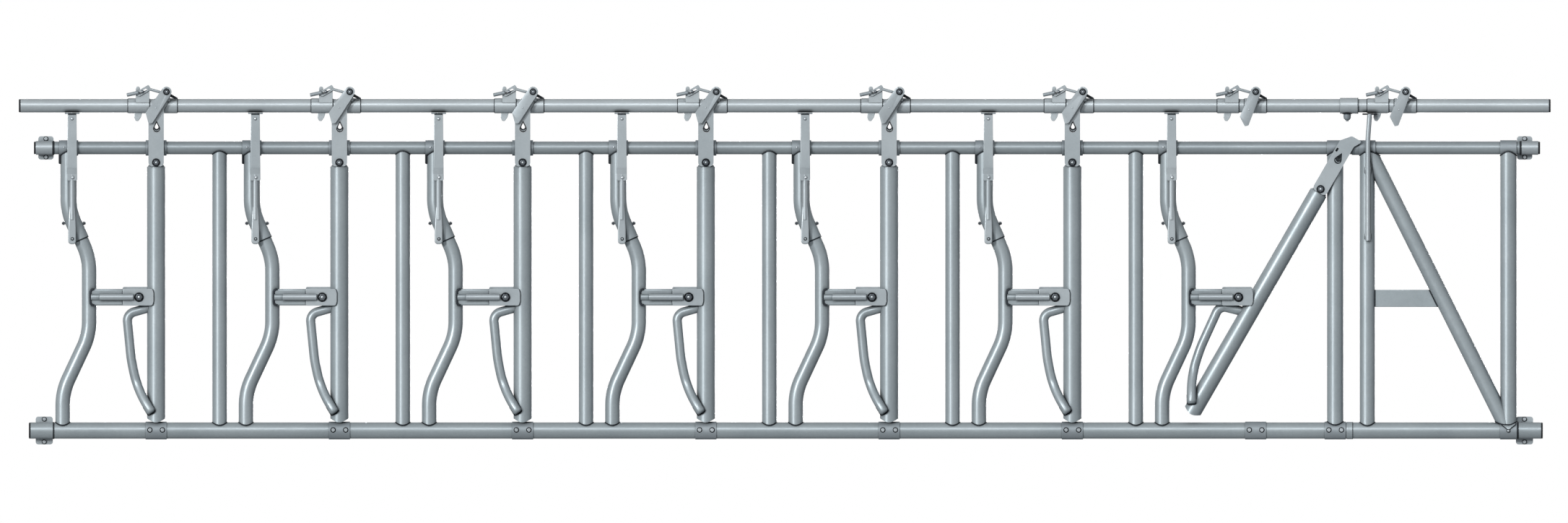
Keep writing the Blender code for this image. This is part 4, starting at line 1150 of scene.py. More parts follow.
@dataclass(frozen=True)
class NeckTubes:
    """The bent neck tubes with the arms that carry the pivots."""

    radius: float = 0.02415
    sleeve_radius: float = 0.027
    top: float = -0.0684
    foot: float = -0.088
    inset: float = 0.02
    bend: float = 0.205
    levels: tuple[float, ...] = (0.729, 0.573, 0.318, 0.130)
    seam_share: float = 0.72
    arm_start: float = 0.004
    arm_end_from_pivot: float = -0.040
    arm_half: float = 0.0275
    arm_wall: float = 0.008
    arm_proud: float = 0.001
    spacer: Point = (-0.062, -0.052)
    spacer_inset: Point = (0.007, 0.002)
    gap: float = 0.03045
    cheek: float = 0.006
    cheek_start: float = 0.1112
    cheek_end: float = 0.2143
    cheek_half: float = 0.028
    cheek_corner: Point = (0.004, 0.014)
    back_cheek_rise: float = 0.0065
    cheek_seam_half: float = 0.022
    stub: Point = (0.006, 0.040)
    rod_radius: float = 0.0105
    rod_length: float = 0.1128
    rod_end_from_pivot: float = -0.0187
    rod_stand: float = 0.0115
    rod_edge: float = 0.0016
    shank_radius: float = 0.0098
    washer_radius: float = 0.0158
    washer_height: float = 0.0018

    def build(self, workshop: Workshop) -> None:
        """Builds the tubes and arms, and the bolt sets apart.

        Args:
            workshop: Dresses and hangs the pieces.
        """
        places = [LAYOUT.along(LAYOUT.neck(p)) for p in range(LAYOUT.places)]
        shape = self._tube()
        self._arm(shape)
        workshop.deliver(shape, numbered("neck_tube", places), replaces=True)
        workshop.deliver(self._bolt(), numbered("pivot_bolt", places))

    def _line(self) -> tuple[list[Point], int]:
        """The bent centre line and the index of the sleeve's lower end.

        Returns:
            The axis in X and Z, and the number of the sleeve's first point.
        """
        first, second, third, fourth = self.levels
        corners = ((self.top, LAYOUT.top - self.inset), (self.top, first), (0.0, second), (0.0, third),
                   (self.foot, fourth), (self.foot, LAYOUT.bottom + self.inset))
        line = rounded(corners, (0.0, self.bend, self.bend, self.bend, self.bend, 0.0), closed=False)
        middle = next(i for i, p in enumerate(line) if p[1] < (first + second) / 2)
        before, after = Vector(line[middle - 1]), Vector(line[middle])
        line.insert(middle, tuple(before.lerp(after, self.seam_share)))
        return line, middle

    def _tube(self) -> Shape:
        """The wide upper sleeve and the lower tube, welded to both rails.

        Returns:
            The dressed shape.
        """
        line, seam = self._line()
        upper = in_plane(list(reversed(line[:seam + 1])))
        lower = in_plane(list(reversed(line[seam - 1:])))
        sleeve, heads = coped_tube(upper, self.sleeve_radius, head=Seats.shallow_tee)
        tube, feet = coped_tube(lower, self.radius, foot=Seats.bottom_rail)
        shape = Shape().add(tube, Finishes.galvanised).add(sleeve, Finishes.galvanised)
        for path in heads + feet:
            shape.add(bead(path, TUBE_WELD), Finishes.weld)
        end, heading = upper[0], (upper[1] - upper[0]).normalized()
        rim = Vector((1.0, 0.0, 0.0)).rotation_difference(heading).to_matrix().to_4x4()
        profile = ((-0.0010, self.radius - 0.001), (-0.0010, self.sleeve_radius - 0.0008),
                   (0.0004, self.sleeve_radius + 0.0004), (0.0024, self.sleeve_radius + 0.0004),
                   (0.0034, self.sleeve_radius - 0.001))
        shape.add(turned(profile, closed=True), Finishes.weld, Matrix.Translation(end) @ rim)
        return shape

    def _arm(self, shape: Shape) -> None:
        """The two side bars with their clevis cheeks, the spacer between them and the rod in front.

        Args:
            shape: The shape that takes them.
        """
        level = LAYOUT.pivot
        end = LAYOUT.pivot_from_neck + self.arm_end_from_pivot
        for side in Side:
            self._side_bar(shape, side, end)
            self._cheek(shape, side)
        (near, far), (inset, shy) = self.spacer, self.spacer_inset
        shape.add(block((end + near, end + far), (-self.gap + inset, self.gap - inset),
                        (level - self.arm_half + shy, level + self.arm_half - shy), 0.0012),
                  Finishes.galvanised)
        stub = [Vector((x, -self.gap, level)) for x in self.stub]
        shape.add(soften(round_bar(stub, self.rod_radius), self.rod_edge), Finishes.galvanised)
        rod_end = LAYOUT.pivot_from_neck + self.rod_end_from_pivot
        rod = [Vector((x, -(self.gap + self.rod_stand), level))
               for x in (rod_end - self.rod_length, rod_end)]
        shape.add(soften(round_bar(rod, self.rod_radius), self.rod_edge), Finishes.bright)

    def _side_bar(self, shape: Shape, side: Side, end: float) -> None:
        """One side bar of the arm, welded to the neck tube along its near end.

        Args:
            shape: The shape that takes them.
            side: Which side it is on.
            end: X of its end.
        """
        level, half = LAYOUT.pivot, self.arm_half
        inner = side.value * (self.gap - self.arm_wall)
        outer = side.value * (self.gap + self.arm_proud)
        low, high = sorted((inner, outer))
        shape.add(block((self.arm_start, end), (low, high), (level - half, level + half), 0.0062),
                  Finishes.galvanised)
        hook = rounded(((0.017, half - 0.0010), (0.0045, half - 0.0010), (0.0045, -half + 0.0010),
                        (0.017, -half + 0.0010)), (0.0, 0.011, 0.011, 0.0), closed=False)
        shape.add(bead([Vector((x, outer * 0.99, level + z)) for x, z in hook], 0.0040), Finishes.weld)

    def _cheek(self, shape: Shape, side: Side) -> None:
        """One clevis plate outside the arm, welded to it along its upright edge.

        Args:
            shape: The shape that takes them.
            side: Which side it is on.
        """
        rise = self.back_cheek_rise if side is Side.BACK else 0.0
        start, end = self.cheek_start, self.cheek_end
        low_z, high_z = LAYOUT.pivot - self.cheek_half, LAYOUT.pivot + self.cheek_half + rise
        cut_x, cut_z = self.cheek_corner
        outline = rounded(((start, low_z), (end - cut_x, low_z), (end, low_z + cut_z), (end, high_z - cut_z),
                           (end - cut_x, high_z), (start, high_z)),
                          (0.005, 0.007, 0.012, 0.012, 0.007, 0.005))
        low, high = sorted((side.value * self.gap, side.value * (self.gap + self.cheek)))
        shape.add(flat_plate(outline, low, high, 0.0012), Finishes.bright)
        foot = Vector((start, side.value * (self.gap + 0.0015), LAYOUT.pivot - self.cheek_seam_half))
        seam = [foot, foot + Vector((0.0, 0.0, 2 * self.cheek_seam_half))]
        shape.add(bead(seam, 0.0018), Finishes.weld)

    def _bolt(self) -> Shape:
        """The pivot bolt with its washers, head and nut.

        Returns:
            The dressed shape.
        """
        shape = Shape()
        x, z = LAYOUT.pivot_from_neck, LAYOUT.pivot
        face = self.gap + self.cheek
        # centre gives the bolt head a bright dome, a painted highlight
        head = HexBolt(self.shank_radius, 0.0118, 0.0082, self.washer_radius, self.washer_height,
                       centre=0.0048)
        head.add(shape, facing(x, -face, z, Side.FRONT), Finishes.head)
        nut = HexBolt(0.0078, 0.0128, 0.0075, self.washer_radius, self.washer_height, thread=0.0006)
        nut.add(shape, facing(x, face, z, Side.BACK))
        shank = pin(-face - PIN_OVERRUN, face + PIN_OVERRUN, self.shank_radius)
        shape.add(shank, Finishes.bolt, facing(x, 0.0, z, Side.FRONT))
        return shape


@dataclass(frozen=True)
class SwingBars:
    """The swing bars with their bush, guard rod and plug, and the tongues bolted on them."""

    radius: float = 0.03015
    wall: float = 0.0029
    top: float = 0.877
    foot_clearance: float = 0.0108
    casting_radius: float = 0.0297
    blind_depth: float = 0.06
    crown_edge: float = 0.0015
    crown_share: float = 0.975
    bush_radius: float = 0.020
    bush_bore: float = 0.0106
    bush_edge: float = 0.0012
    lug_start: float = 0.004
    lug_half: float = 0.018
    lug_plane: float = 0.0205
    lug_plate_half: float = 0.0035
    guard_radius: float = 0.0155
    guard_line: tuple[Point, ...] = ((0.046, -0.031), (-0.0405, -0.056), (-0.026, -0.205),
                                     (-0.006, -0.305), (0.042, -0.384))
    guard_bends: tuple[float, ...] = (0.0, 0.030, 0.40, 0.36, 0.0)
    guard_sink: float = 0.0055
    guard_top_level: float = -0.0355
    plug_height: float = 0.0105
    plug_lug_half: float = 0.016
    plug_lug_top: float = 0.909
    plug_lug_thickness: float = 0.0125
    tongue_back: float = 0.028
    tongue_thickness: float = 0.006
    tongue_corners: tuple[Point, ...] = ((-0.0255, 0.8774), (0.0255, 0.8774), (0.0255, 1.0670),
                                         (0.0385, 1.0895), (0.0360, 1.095), (0.002, 1.095),
                                         (-0.0255, 1.0625))
    tongue_bends: tuple[float, ...] = (0.014, 0.014, 0.004, 0.004, 0.003, 0.009, 0.006)
    tongue_bolt_level: float = 0.8904
    eye_centre: Point = (0.0015, 1.0025)
    eye_radius: float = 0.0122
    eye_tip: float = 1.030
    slot_half: Point = (0.0037, 0.007)
    slot_corner: float = 0.0036
    slot_drop: float = 0.0050
    shank_radius: float = 0.0058

    def build(self, workshop: Workshop) -> None:
        """Builds the bars, the tongues and the tongue bolts.

        Args:
            workshop: Dresses and hangs the pieces.
        """
        places = [LAYOUT.bar_place(p) for p in range(LAYOUT.places)]
        workshop.deliver(self._bar(), numbered("swing_tube", places, "bar_"), replaces=True)
        workshop.deliver(self._tongue(), numbered("tongue", places, "bar_"), replaces=True)
        workshop.deliver(self._bolt(), numbered("tongue_bolt", places, "bar_"))

    def _bar(self) -> Shape:
        """The tube, its bush, the guard rod and the plug.

        Returns:
            The dressed shape.
        """
        x = LAYOUT.bar_from_pivot
        rail = LAYOUT.bottom - LAYOUT.pivot
        head = self.top - LAYOUT.pivot
        shape = Shape().add(self._tube(x, rail, head), Finishes.galvanised)
        self._bush(shape, x)
        self._guard(shape, x)
        self._plug(shape, x, head)
        return shape

    def _tube(self, x: float, rail: float, head: float) -> Form:
        """The bar's tube, hollowed at its saddle-cut foot.

        Args:
            x: The tube's axis, from the pivot bolt.
            rail: Level of the bottom rail's axis.
            head: Level of the tube's top.

        Returns:
            The tube as a new mesh.
        """
        cut = self.casting_radius + self.foot_clearance
        path = in_plane(((x, rail + cut), (x, rail + cut + 0.05), (x, head - self.crown_edge)))
        form = round_bar(path, self.radius, TUBE_SIDES, capped=False)
        form.verts.ensure_lookup_table()
        cope(form.verts[:TUBE_SIDES], Vector((0.0, 0.0, 1.0)), rail, cut, 1.0, 1)
        rims = [edge for edge in form.edges if edge.is_boundary]
        foot = [edge for edge in rims if edge.verts[0].co.z < 0.0]
        crown = [edge for edge in rims if edge.verts[0].co.z > 0.0]
        inner = self._step(form, foot, x, 1.0 - self.wall / self.radius, 0.0)
        inner = self._step(form, inner, x, 1.0, self.blind_depth)
        bmesh.ops.edgeloop_fill(form, edges=inner)
        rim = self._step(form, crown, x, self.crown_share, self.crown_edge)
        bmesh.ops.edgeloop_fill(form, edges=rim)
        return recalculated(form)

    @staticmethod
    def _step(form: Form, edges: Sequence[bmesh.types.BMEdge], x: float, shrink: float,
              rise: float) -> list[bmesh.types.BMEdge]:
        """Extrudes a rim, draws it in towards the tube's axis and lifts it.

        Args:
            form: The tube.
            edges: The rim.
            x: The tube's axis.
            shrink: Share of the rim's radius that is left.
            rise: How far the new rim is lifted.

        Returns:
            The edges of the new rim.
        """
        ring, rim = extruded_ring(form, edges)
        for vert in ring:
            vert.co = Vector((x + (vert.co.x - x) * shrink, vert.co.y * shrink, vert.co.z + rise))
        return rim

    def _bush(self, shape: Shape, x: float) -> None:
        """The pivot bush and the lug that holds it on the tube.

        Args:
            shape: The shape that takes them.
            x: X of its axis.
        """
        half, edge = self.radius - SEAT_GAP, self.bush_edge
        outer, bore, lug = self.bush_radius, self.bush_bore, self.lug_half
        profile = ((-half, bore), (-half, outer - edge), (-half + edge, outer), (half - edge, outer),
                   (half, outer - edge), (half, bore))
        shape.add(turned(profile, ROD_SIDES, closed=True), Finishes.casting, facing(0.0, 0.0, 0.0))
        start, end = self.lug_start, x - self.radius * 0.78
        for side in Side:
            y = side.value * self.lug_plane
            plate = flat_plate(((start, -lug), (end, -lug), (end, lug), (start, lug)),
                               y - self.lug_plate_half, y + self.lug_plate_half, 0.0008)
            shape.add(plate, Finishes.casting)
        shape.add(block((0.014, x - self.radius * 0.8), (-lug, lug), (-0.0175, 0.0175)), Finishes.casting)
        for level in (-lug, lug):
            path = [Vector((x - self.radius * share, y, level))
                    for share, y in ((0.9, -lug), (0.98, 0.0), (0.9, lug))]
            shape.add(bead(path, TUBE_WELD), Finishes.weld)

    def _guard(self, shape: Shape, x: float) -> None:
        """The bent guard rod, welded to the bar's side above and to its front below.

        Args:
            shape: The shape that takes them.
            x: X of its axis.
        """
        path = self._guard_path(x)
        rod = round_bar(path, self.guard_radius, GUARD_SIDES)
        shape.add(soften(rod, 0.009, 5), Finishes.galvanised)
        upper = Vector((x - self.radius * 0.93, 0.0, self.guard_top_level))
        shape.add(bead(self._side_seam(upper), TUBE_WELD), Finishes.weld)
        shape.add(bead(self._front_seam(path, x), 0.0022), Finishes.weld)

    def _guard_path(self, x: float) -> list[Vector]:
        """The guard rod's axis, which comes forward on its way down until it lies on the bar's front.

        Args:
            x: X of its axis.

        Returns:
            Points along its axis.
        """
        knee, tip = Vector(self.guard_line[-2]), Vector(self.guard_line[-1])
        line = [Vector(p) for p in rounded(self.guard_line, self.guard_bends, closed=False)]
        reach = self.radius + self.guard_radius - self.guard_sink
        stand = math.sqrt(reach ** 2 - (x - tip.x) ** 2)
        start = knee.lerp(tip, -0.35)
        path = []
        for point in (p for a, b in zip(line, line[1:]) for p in (a, a.lerp(b, 0.5))):
            share = min(max((point - start).dot(tip - start) / (tip - start).length_squared, 0.0), 1.0)
            path.append(Vector((point.x, -stand * share * share * (3.0 - 2.0 * share), point.y)))
        path.append(Vector((tip.x, -stand, tip.y)))
        return path

    def _side_seam(self, point: Vector) -> list[Vector]:
        """A closed path round the guard rod where it meets the bar's side.

        Args:
            point: The rod's upper end.

        Returns:
            Points round it.
        """
        path = []
        for spot in ring_path(Vector(), self.guard_radius * 0.97):
            depth = self.radius - math.sqrt(max(self.radius ** 2 - spot.y ** 2, 0.0))
            path.append(point + Vector((depth, spot.y, spot.z)))
        return path

    def _front_seam(self, path: Sequence[Vector], x: float) -> list[Vector]:
        """The path round the rod's lower end where it lies on the bar's front.

        Args:
            path: Points along the rod.
            x: X of the bar's axis.

        Returns:
            Points round it.
        """
        steps, flatness, tail = 24, 0.25, 0.03
        end, run = path[-1], (path[-1] - path[-3]).normalized()
        across = run.cross(Vector((0.0, 1.0, 0.0))).normalized()
        reach = self.guard_radius * 0.92
        seam = []
        for k in range(steps + 1):
            turn = math.pi * (k / steps - 0.5)
            spot = end + run * (reach * math.cos(turn) * flatness) + across * (reach * math.sin(turn))
            if k in (0, steps):
                spot = spot - run * tail
            depth = math.sqrt(max((self.radius + 0.0006) ** 2 - (spot.x - x) ** 2, 0.0))
            seam.append(Vector((spot.x, -depth, spot.z)))
        return seam

    def _plug(self, shape: Shape, x: float, head: float) -> None:
        """The rounded plug in the bar's top and the lug that carries the tongue.

        Args:
            shape: The shape that takes them.
            x: X of its axis.
            head: Level of the bar's top.
        """
        steps, height = 6, self.plug_height
        profile = [(0.0, 0.0), (0.0, self.radius * 0.93)]
        for k in range(steps + 1):
            turn = math.pi / 2 * k / steps
            profile.append((height * math.sin(turn), self.radius * (0.30 + 0.60 * math.cos(turn))))
        profile.append((height, 0.0))
        up = Matrix.Translation((x, 0.0, head - 0.0004)) @ Matrix.Rotation(-math.pi / 2, 4, "Y")
        shape.add(turned(profile), Finishes.casting, up)
        half = self.plug_lug_half
        low, high = head - 0.004, self.plug_lug_top - LAYOUT.pivot
        outline = rounded(((x - half, low), (x + half, low), (x + half, high), (x - half, high)),
                          (0.0, 0.0, 0.007, 0.007))
        front = -self.tongue_back + SEAT_GAP
        shape.add(flat_plate(outline, front, front + self.plug_lug_thickness, 0.0012), Finishes.casting)

    def _tongue(self) -> Shape:
        """The tongue plate with its drop-shaped eye and the slot for the latch pin, with a dark ring of
        painted shade round the inside of the eye and a thin bright wire on it as a painted highlight.

        Returns:
            The dressed shape.
        """
        x, pivot = LAYOUT.bar_from_pivot, LAYOUT.pivot
        outline = rounded([(x + dx, z - pivot) for dx, z in self.tongue_corners], self.tongue_bends)
        eye = self._eye()
        hole = circle(x, self.tongue_bolt_level - pivot, 0.0064)
        front = -self.tongue_back - self.tongue_thickness
        plate = flat_plate(outline, front, -self.tongue_back, 0.0008, (eye, self._slot(), hole))
        shape = Shape().add(plate, Finishes.bright)
        # Painted shade: a dark ring inside the eye stands for the shade on the hole's edge
        middle = Vector((eye[-1][0], self.eye_centre[1] - pivot + 0.0115))
        inner, outer = [[tuple(middle.lerp(Vector(p), share)) for p in eye] for share in (0.50, 0.985)]
        shape.add(flat_plate(outer, front - 0.0012, front + 0.004, 0.0006, (inner,)), Finishes.dark)
        # Painted highlight: a thin bright wire along the dark ring stands for a glint on the eye's edge
        arc = [middle.lerp(Vector(p), 0.77) for p in eye[5:16]]
        painted_glint_path = [Vector((p.x, front - 0.0012, p.y)) for p in arc]
        shape.add(round_bar(painted_glint_path, 0.0010, WIRE_SIDES), Finishes.bright)
        return shape

    def _eye(self) -> list[Point]:
        """The outline of the drop-shaped eye, with its tip last.

        Returns:
            Its corners.
        """
        steps, first, sweep = 20, 60, 240
        x, z = LAYOUT.bar_from_pivot + self.eye_centre[0], self.eye_centre[1] - LAYOUT.pivot
        turns = [math.radians(first + sweep * k / steps) for k in range(steps + 1)]
        eye = [(x + self.eye_radius * math.sin(t), z + self.eye_radius * math.cos(t)) for t in turns]
        return eye + [(x, self.eye_tip - LAYOUT.pivot)]

    def _slot(self) -> list[Point]:
        """The outline of the slot that the closed lever's pin stands in.

        Returns:
            Its corners.
        """
        (side, along), tilt = LAYOUT.latch_pin, LAYOUT.closed_tilt
        pin_x = along * math.sin(tilt) + side * math.cos(tilt)
        pin_z = along * math.cos(tilt) - side * math.sin(tilt)
        x = LAYOUT.bolt_from_neck - LAYOUT.pivot_from_neck + pin_x
        z = LAYOUT.control + LAYOUT.bolt_rise + pin_z - self.slot_drop - LAYOUT.pivot
        width, height = self.slot_half
        return rounded(((x - width, z - height), (x + width, z - height), (x + width, z + height),
                        (x - width, z + height)), (self.slot_corner,) * 4)

    def _bolt(self) -> Shape:
        """The bolt through the tongue's foot, with the nut behind its lug.

        Returns:
            The dressed shape.
        """
        shape = Shape()
        x, z = LAYOUT.bar_from_pivot, self.tongue_bolt_level - LAYOUT.pivot
        front = -self.tongue_back - self.tongue_thickness
        back = -self.tongue_back + self.plug_lug_thickness + SEAT_GAP
        # centre gives the bolt head a bright dome, a painted highlight
        bolt = HexBolt(self.shank_radius, 0.0096, 0.0052, washer=0.0138, washer_height=0.0011,
                       centre=0.0040)
        bolt.add(shape, facing(x, front, z), Finishes.head)
        nut = HexBolt(self.shank_radius, 0.0100, 0.0052, thread=0.003)
        nut.add(shape, facing(x, back, z, Side.BACK))
        turn = Matrix.Translation((x, 0.0, z)) @ Matrix.Rotation(math.pi / 2, 4, "Z")
        shape.add(pin(front - PIN_OVERRUN, back, self.shank_radius), Finishes.bolt, turn)
        return shape


@dataclass(frozen=True)
class FootPlate:
    """The plate on top of a strut that carries the control tube."""

    half_width: float = 0.0245
    back: float = 0.012
    thickness: float = 0.005

    def form(self, x: float, front: float, top: float) -> Form:
        """The plate about X, from its front edge and under its top face."""
        return block((x - self.half_width, x + self.half_width), (front, self.back),
                     (top - self.thickness, top), 0.0012)


@dataclass(frozen=True)
class Struts:
    """The struts that carry the control tube on the neck tubes."""

    x: float = -0.0566
    back: float = -0.0273
    thickness: float = 0.006
    top_width: float = 0.029
    foot_width: float = 0.0336
    bottom: float = 0.830
    joggle: float = 0.0135
    joggle_levels: Point = (0.852, 0.872)
    foot_plate: FootPlate = FootPlate()
    foot_seam_half: float = 0.014
    top_rivet_level: float = 1.0354
    low_rivet: Point = (0.002, 0.8402)
    rod_radius: float = 0.010
    rod_bottom: float = 0.700
    rod_edge: float = 0.0015
    pad_width: float = 0.0264
    pad_levels: tuple[float, ...] = (0.619, 0.668, 0.745)
    pad_depths: Point = (-0.0075, 0.005)
    pad_rivet: Point = (0.001, 0.6365)
    control_radius: float = 0.02225
    clamp_level: float = 0.6885
    clamp_span: Point = (-0.0255, 0.0365)

    def build(self, workshop: Workshop) -> None:
        """Builds the struts and their clamp bolts."""
        places = [LAYOUT.along(LAYOUT.neck(p)) for p in range(LAYOUT.places)]
        workshop.deliver(self._strut(), numbered("strut", places), replaces=True)
        workshop.deliver(self._clamp(), numbered("strut_clamp", places))

    def _strut(self) -> Shape:
        """The foot, the tapered bar with its rivets, and the rod with its flattened end.

        Returns:
            The dressed shape.
        """
        shape = Shape()
        self._bar(shape)
        rod_y = self.back - self.rod_radius
        self._rod(shape, rod_y)
        self._pad(shape, rod_y)
        return shape

    def _bar(self, shape: Shape) -> None:
        """The tapered flat bar with the plate on its top and its two rivets.

        Args:
            shape: The shape that takes them.
        """
        top = LAYOUT.control - self.control_radius - SEAT_GAP
        front = self.back - self.thickness
        half_top, half_foot = self.top_width / 2, self.foot_width / 2
        outline = rounded(((self.x - half_foot, self.bottom), (self.x + half_foot, self.bottom),
                           (self.x + half_top, top), (self.x - half_top, top)), (0.006, 0.006, 0.0, 0.0))
        shape.add(self._joggled(flat_plate(outline, front, self.back, 0.001)), Finishes.bright)
        shape.add(self.foot_plate.form(self.x, front, top), Finishes.casting)
        seam = [Vector((self.x + side * self.foot_seam_half, front - 0.0002, top - 0.006))
                for side in (-1.0, 1.0)]
        shape.add(bead(seam, 0.0017), Finishes.weld)
        shape.add(rivet(0.0052, 0.0032), Finishes.bolt, facing(self.x, front, self.top_rivet_level))
        shift, level = self.low_rivet
        shape.add(rivet(0.0056, 0.0032), Finishes.bolt, facing(self.x + shift, front - self.joggle, level))

    def _rod(self, shape: Shape, rod_y: float) -> None:
        """The rod behind the bar's lower end, welded to it on both sides.

        Args:
            shape: The shape that takes them.
            rod_y: Depth of the rod's axis.
        """
        top = self.joggle_levels[0]
        path = [Vector((self.x, rod_y, level)) for level in (self.rod_bottom, top)]
        rod = round_bar(path, self.rod_radius)
        shape.add(soften(rod, self.rod_edge), Finishes.bright)
        for edge in (-1.0, 1.0):
            x = self.x + edge * self.rod_radius * 0.94
            seam = [Vector((x, rod_y - 0.0035, level)) for level in (self.bottom + 0.0005, top)]
            shape.add(bead(seam, 0.0016), Finishes.weld)

    def _pad(self, shape: Shape, rod_y: float) -> None:
        """The rod's flattened lower end with its rivet.

        Args:
            shape: The shape that takes them.
            rod_y: Depth of the rod's axis.
        """
        half, (low, shoulder, high) = self.pad_width / 2, self.pad_levels
        neck = self.rod_radius * 0.88
        outline = rounded(((self.x - half, low), (self.x + half, low), (self.x + half, shoulder),
                           (self.x + neck, high), (self.x - neck, high), (self.x - half, shoulder)),
                          (0.011, 0.011, 0.06, 0.0, 0.0, 0.06))
        front, back = (rod_y + depth for depth in self.pad_depths)
        shape.add(flat_plate(outline, front, back, 0.0030), Finishes.bright)
        shift, level = self.pad_rivet
        spot = facing(self.x + shift, front, level)
        shape.add(rivet(0.0058, 0.0016), Finishes.dark, spot)
        shape.add(rivet(0.0034, 0.0030), Finishes.bolt, spot)

    def _joggled(self, form: Form) -> Form:
        """Sets the lower end of the bar forward, over the rod that it is welded to.

        Args:
            form: The mesh.

        Returns:
            The same mesh.
        """
        low, high = self.joggle_levels
        for level in (low, high):
            geom = list(form.verts) + list(form.edges) + list(form.faces)
            bmesh.ops.bisect_plane(form, geom=geom, plane_co=(0.0, 0.0, level), plane_no=(0.0, 0.0, 1.0))
        for vert in form.verts:
            share = min(max((high - vert.co.z) / (high - low), 0.0), 1.0)
            vert.co.y -= self.joggle * share
        return form

    def _clamp(self) -> Shape:
        """The cross bolt that holds the flattened end to the neck tube.

        Returns:
            The dressed shape.
        """
        left, right = (self.x + reach for reach in self.clamp_span)
        shank = [Vector((x, 0.0, self.clamp_level)) for x in (left, right)]
        shape = Shape().add(round_bar(shank, 0.0036, THIN_ROD_SIDES), Finishes.bolt)
        nut = HexBolt(0.0038, 0.0064, 0.0055, thread=0.003)
        for x, turn in ((left, math.pi), (right, 0.0)):
            spot = Matrix.Translation((x, 0.0, self.clamp_level)) @ Matrix.Rotation(turn, 4, "Z")
            nut.add(shape, spot, Finishes.head)
        return shape


@dataclass(frozen=True)
class ControlLine:
    """The control tube with its collars, lugs and ears, and the coupling sleeve."""

    radius: float = 0.02225
    span: Point = (-0.0847, 5.008)
    collar_radius: float = 0.025
    left_collar: Point = (-0.1274, -0.0566)
    right_collar: Point = (-0.0374, 0.0355)
    lug_thickness: float = 0.012
    lug_corner: float = 0.006
    ear: Point = (-0.1020, -0.0566)
    ear_top: float = 0.064
    ear_thickness: float = 0.006
    boss_radius: float = 0.012
    boss_edge: float = 0.0008
    lever_back: float = 0.045
    lever_thickness: float = 0.005
    lever_shank: float = 0.0058
    selector_shank: float = 0.0039
    selector_gap: float = 0.001
    selector_thickness: float = 0.005
    coupling: Point = (4.3073, 4.3685)
    coupling_radius: float = 0.0262
    coupling_edge: float = 0.0015
    coupling_split: float = 0.0012
    coupling_bolt: float = 4.3316
    flange: tuple[Point, ...] = ((0.0, 0.0), (0.0, 0.0165), (0.0030, 0.0165), (0.0036, 0.0155),
                                 (0.0036, 0.0))
    cup: tuple[Point, ...] = ((0.003, 0.0), (0.003, 0.0125), (0.015, 0.0122), (0.0195, 0.0105),
                              (0.0225, 0.0075), (0.0235, 0.0050), (0.0262, 0.0046), (0.0275, 0.0034),
                              (0.0275, 0.0))

    def build(self, workshop: Workshop) -> None:
        """Builds the tube, the fittings of each latch unit and the coupling.

        Args:
            workshop: Dresses and hangs the pieces.
        """
        units = range(LAYOUT.places + 1)
        collars = tuple(Collar(LAYOUT.latch(unit) + start, LAYOUT.latch(unit) + end, self.collar_radius,
                               Finishes.control)
                        for unit in units for start, end in (self.left_collar, self.right_collar))
        Rail("control_tube", "control", LAYOUT.control, *self.span, self.radius, Finishes.control,
             collars).build(workshop)
        places = [LAYOUT.along(LAYOUT.latch(unit), LAYOUT.control) for unit in units]
        workshop.deliver(self._brackets(), numbered("latch_bracket", places, "control"))
        workshop.deliver(self._bolts(), numbered("latch_bolts", places, "control"))
        self._coupling(workshop)

    def _brackets(self) -> Shape:
        """The lug that carries the lever and the ear that carries the selector.

        Returns:
            The dressed shape.
        """
        shape = Shape()
        self._lug(shape)
        self._ear(shape)
        front, face = self.collar_radius, self.lever_back - 0.0006
        edge = self.boss_edge
        boss = ((front, 0.0), (front, self.boss_radius), (face - edge, self.boss_radius),
                (face, self.boss_radius - edge), (face, 0.0))
        shape.add(turned(boss, ROD_SIDES), Finishes.casting, facing(0.0, 0.0, LAYOUT.bolt_rise))
        for collar in (self.left_collar, self.right_collar):
            for x, outward in zip(collar, (-1.0, 1.0)):
                path = ring_path(Vector((x + outward * 0.0008, 0.0, 0.0)), self.radius + 0.0004)
                shape.add(bead(path, 0.0014), Finishes.weld)
        return shape

    def _lug(self, shape: Shape) -> None:
        """The tapered lug on the right collar, with the stay that leans against it.

        Args:
            shape: The shape that takes them.
        """
        rise, front = LAYOUT.bolt_rise, -self.collar_radius
        start, end = self.right_collar
        corner = self.lug_corner
        outline = rounded(((start + 0.007, 0.014), (0.0125, 0.014), (0.0115, rise + 0.008),
                           (-0.009, rise + 0.010)), (0.0, 0.0, corner, corner))
        shape.add(flat_plate(outline, front, front + self.lug_thickness, 0.001), Finishes.control)
        outline = rounded(((0.009, rise - 0.0150), (0.009, rise - 0.0035), (0.0165, rise - 0.0080),
                           (end + 0.0018, 0.0262), (end + 0.0018, 0.0225), (end - 0.0080, 0.0225)),
                          (0.0, 0.002, 0.002, 0.001, 0.0, 0.002))
        shape.add(flat_plate(outline, front + 0.002, front + 0.010, 0.0008), Finishes.dark)

    def _ear(self, shape: Shape) -> None:
        """The stepped ear on the left collar, with the finger that hangs below it.

        Args:
            shape: The shape that takes them.
        """
        front = -self.collar_radius
        left, right = self.ear
        outline = rounded(((left, 0.010), (right, 0.010), (right, 0.056), (left + 0.014, 0.0445),
                           (left + 0.014, self.ear_top), (left, self.ear_top)),
                          (0.0, 0.0, 0.003, 0.002, 0.0068, 0.0068))
        shape.add(flat_plate(outline, front, front + self.ear_thickness, 0.0009), Finishes.control)
        outline = rounded(((left - 0.0035, -0.0200), (left + 0.0225, -0.0200), (left + 0.0170, -0.0385),
                           (left + 0.0080, -0.0515), (left - 0.0005, -0.0500), (left - 0.0050, -0.0390)),
                          (0.0, 0.0, 0.006, 0.005, 0.004, 0.006))
        shape.add(flat_plate(outline, -0.006, 0.002, 0.0012), Finishes.control)

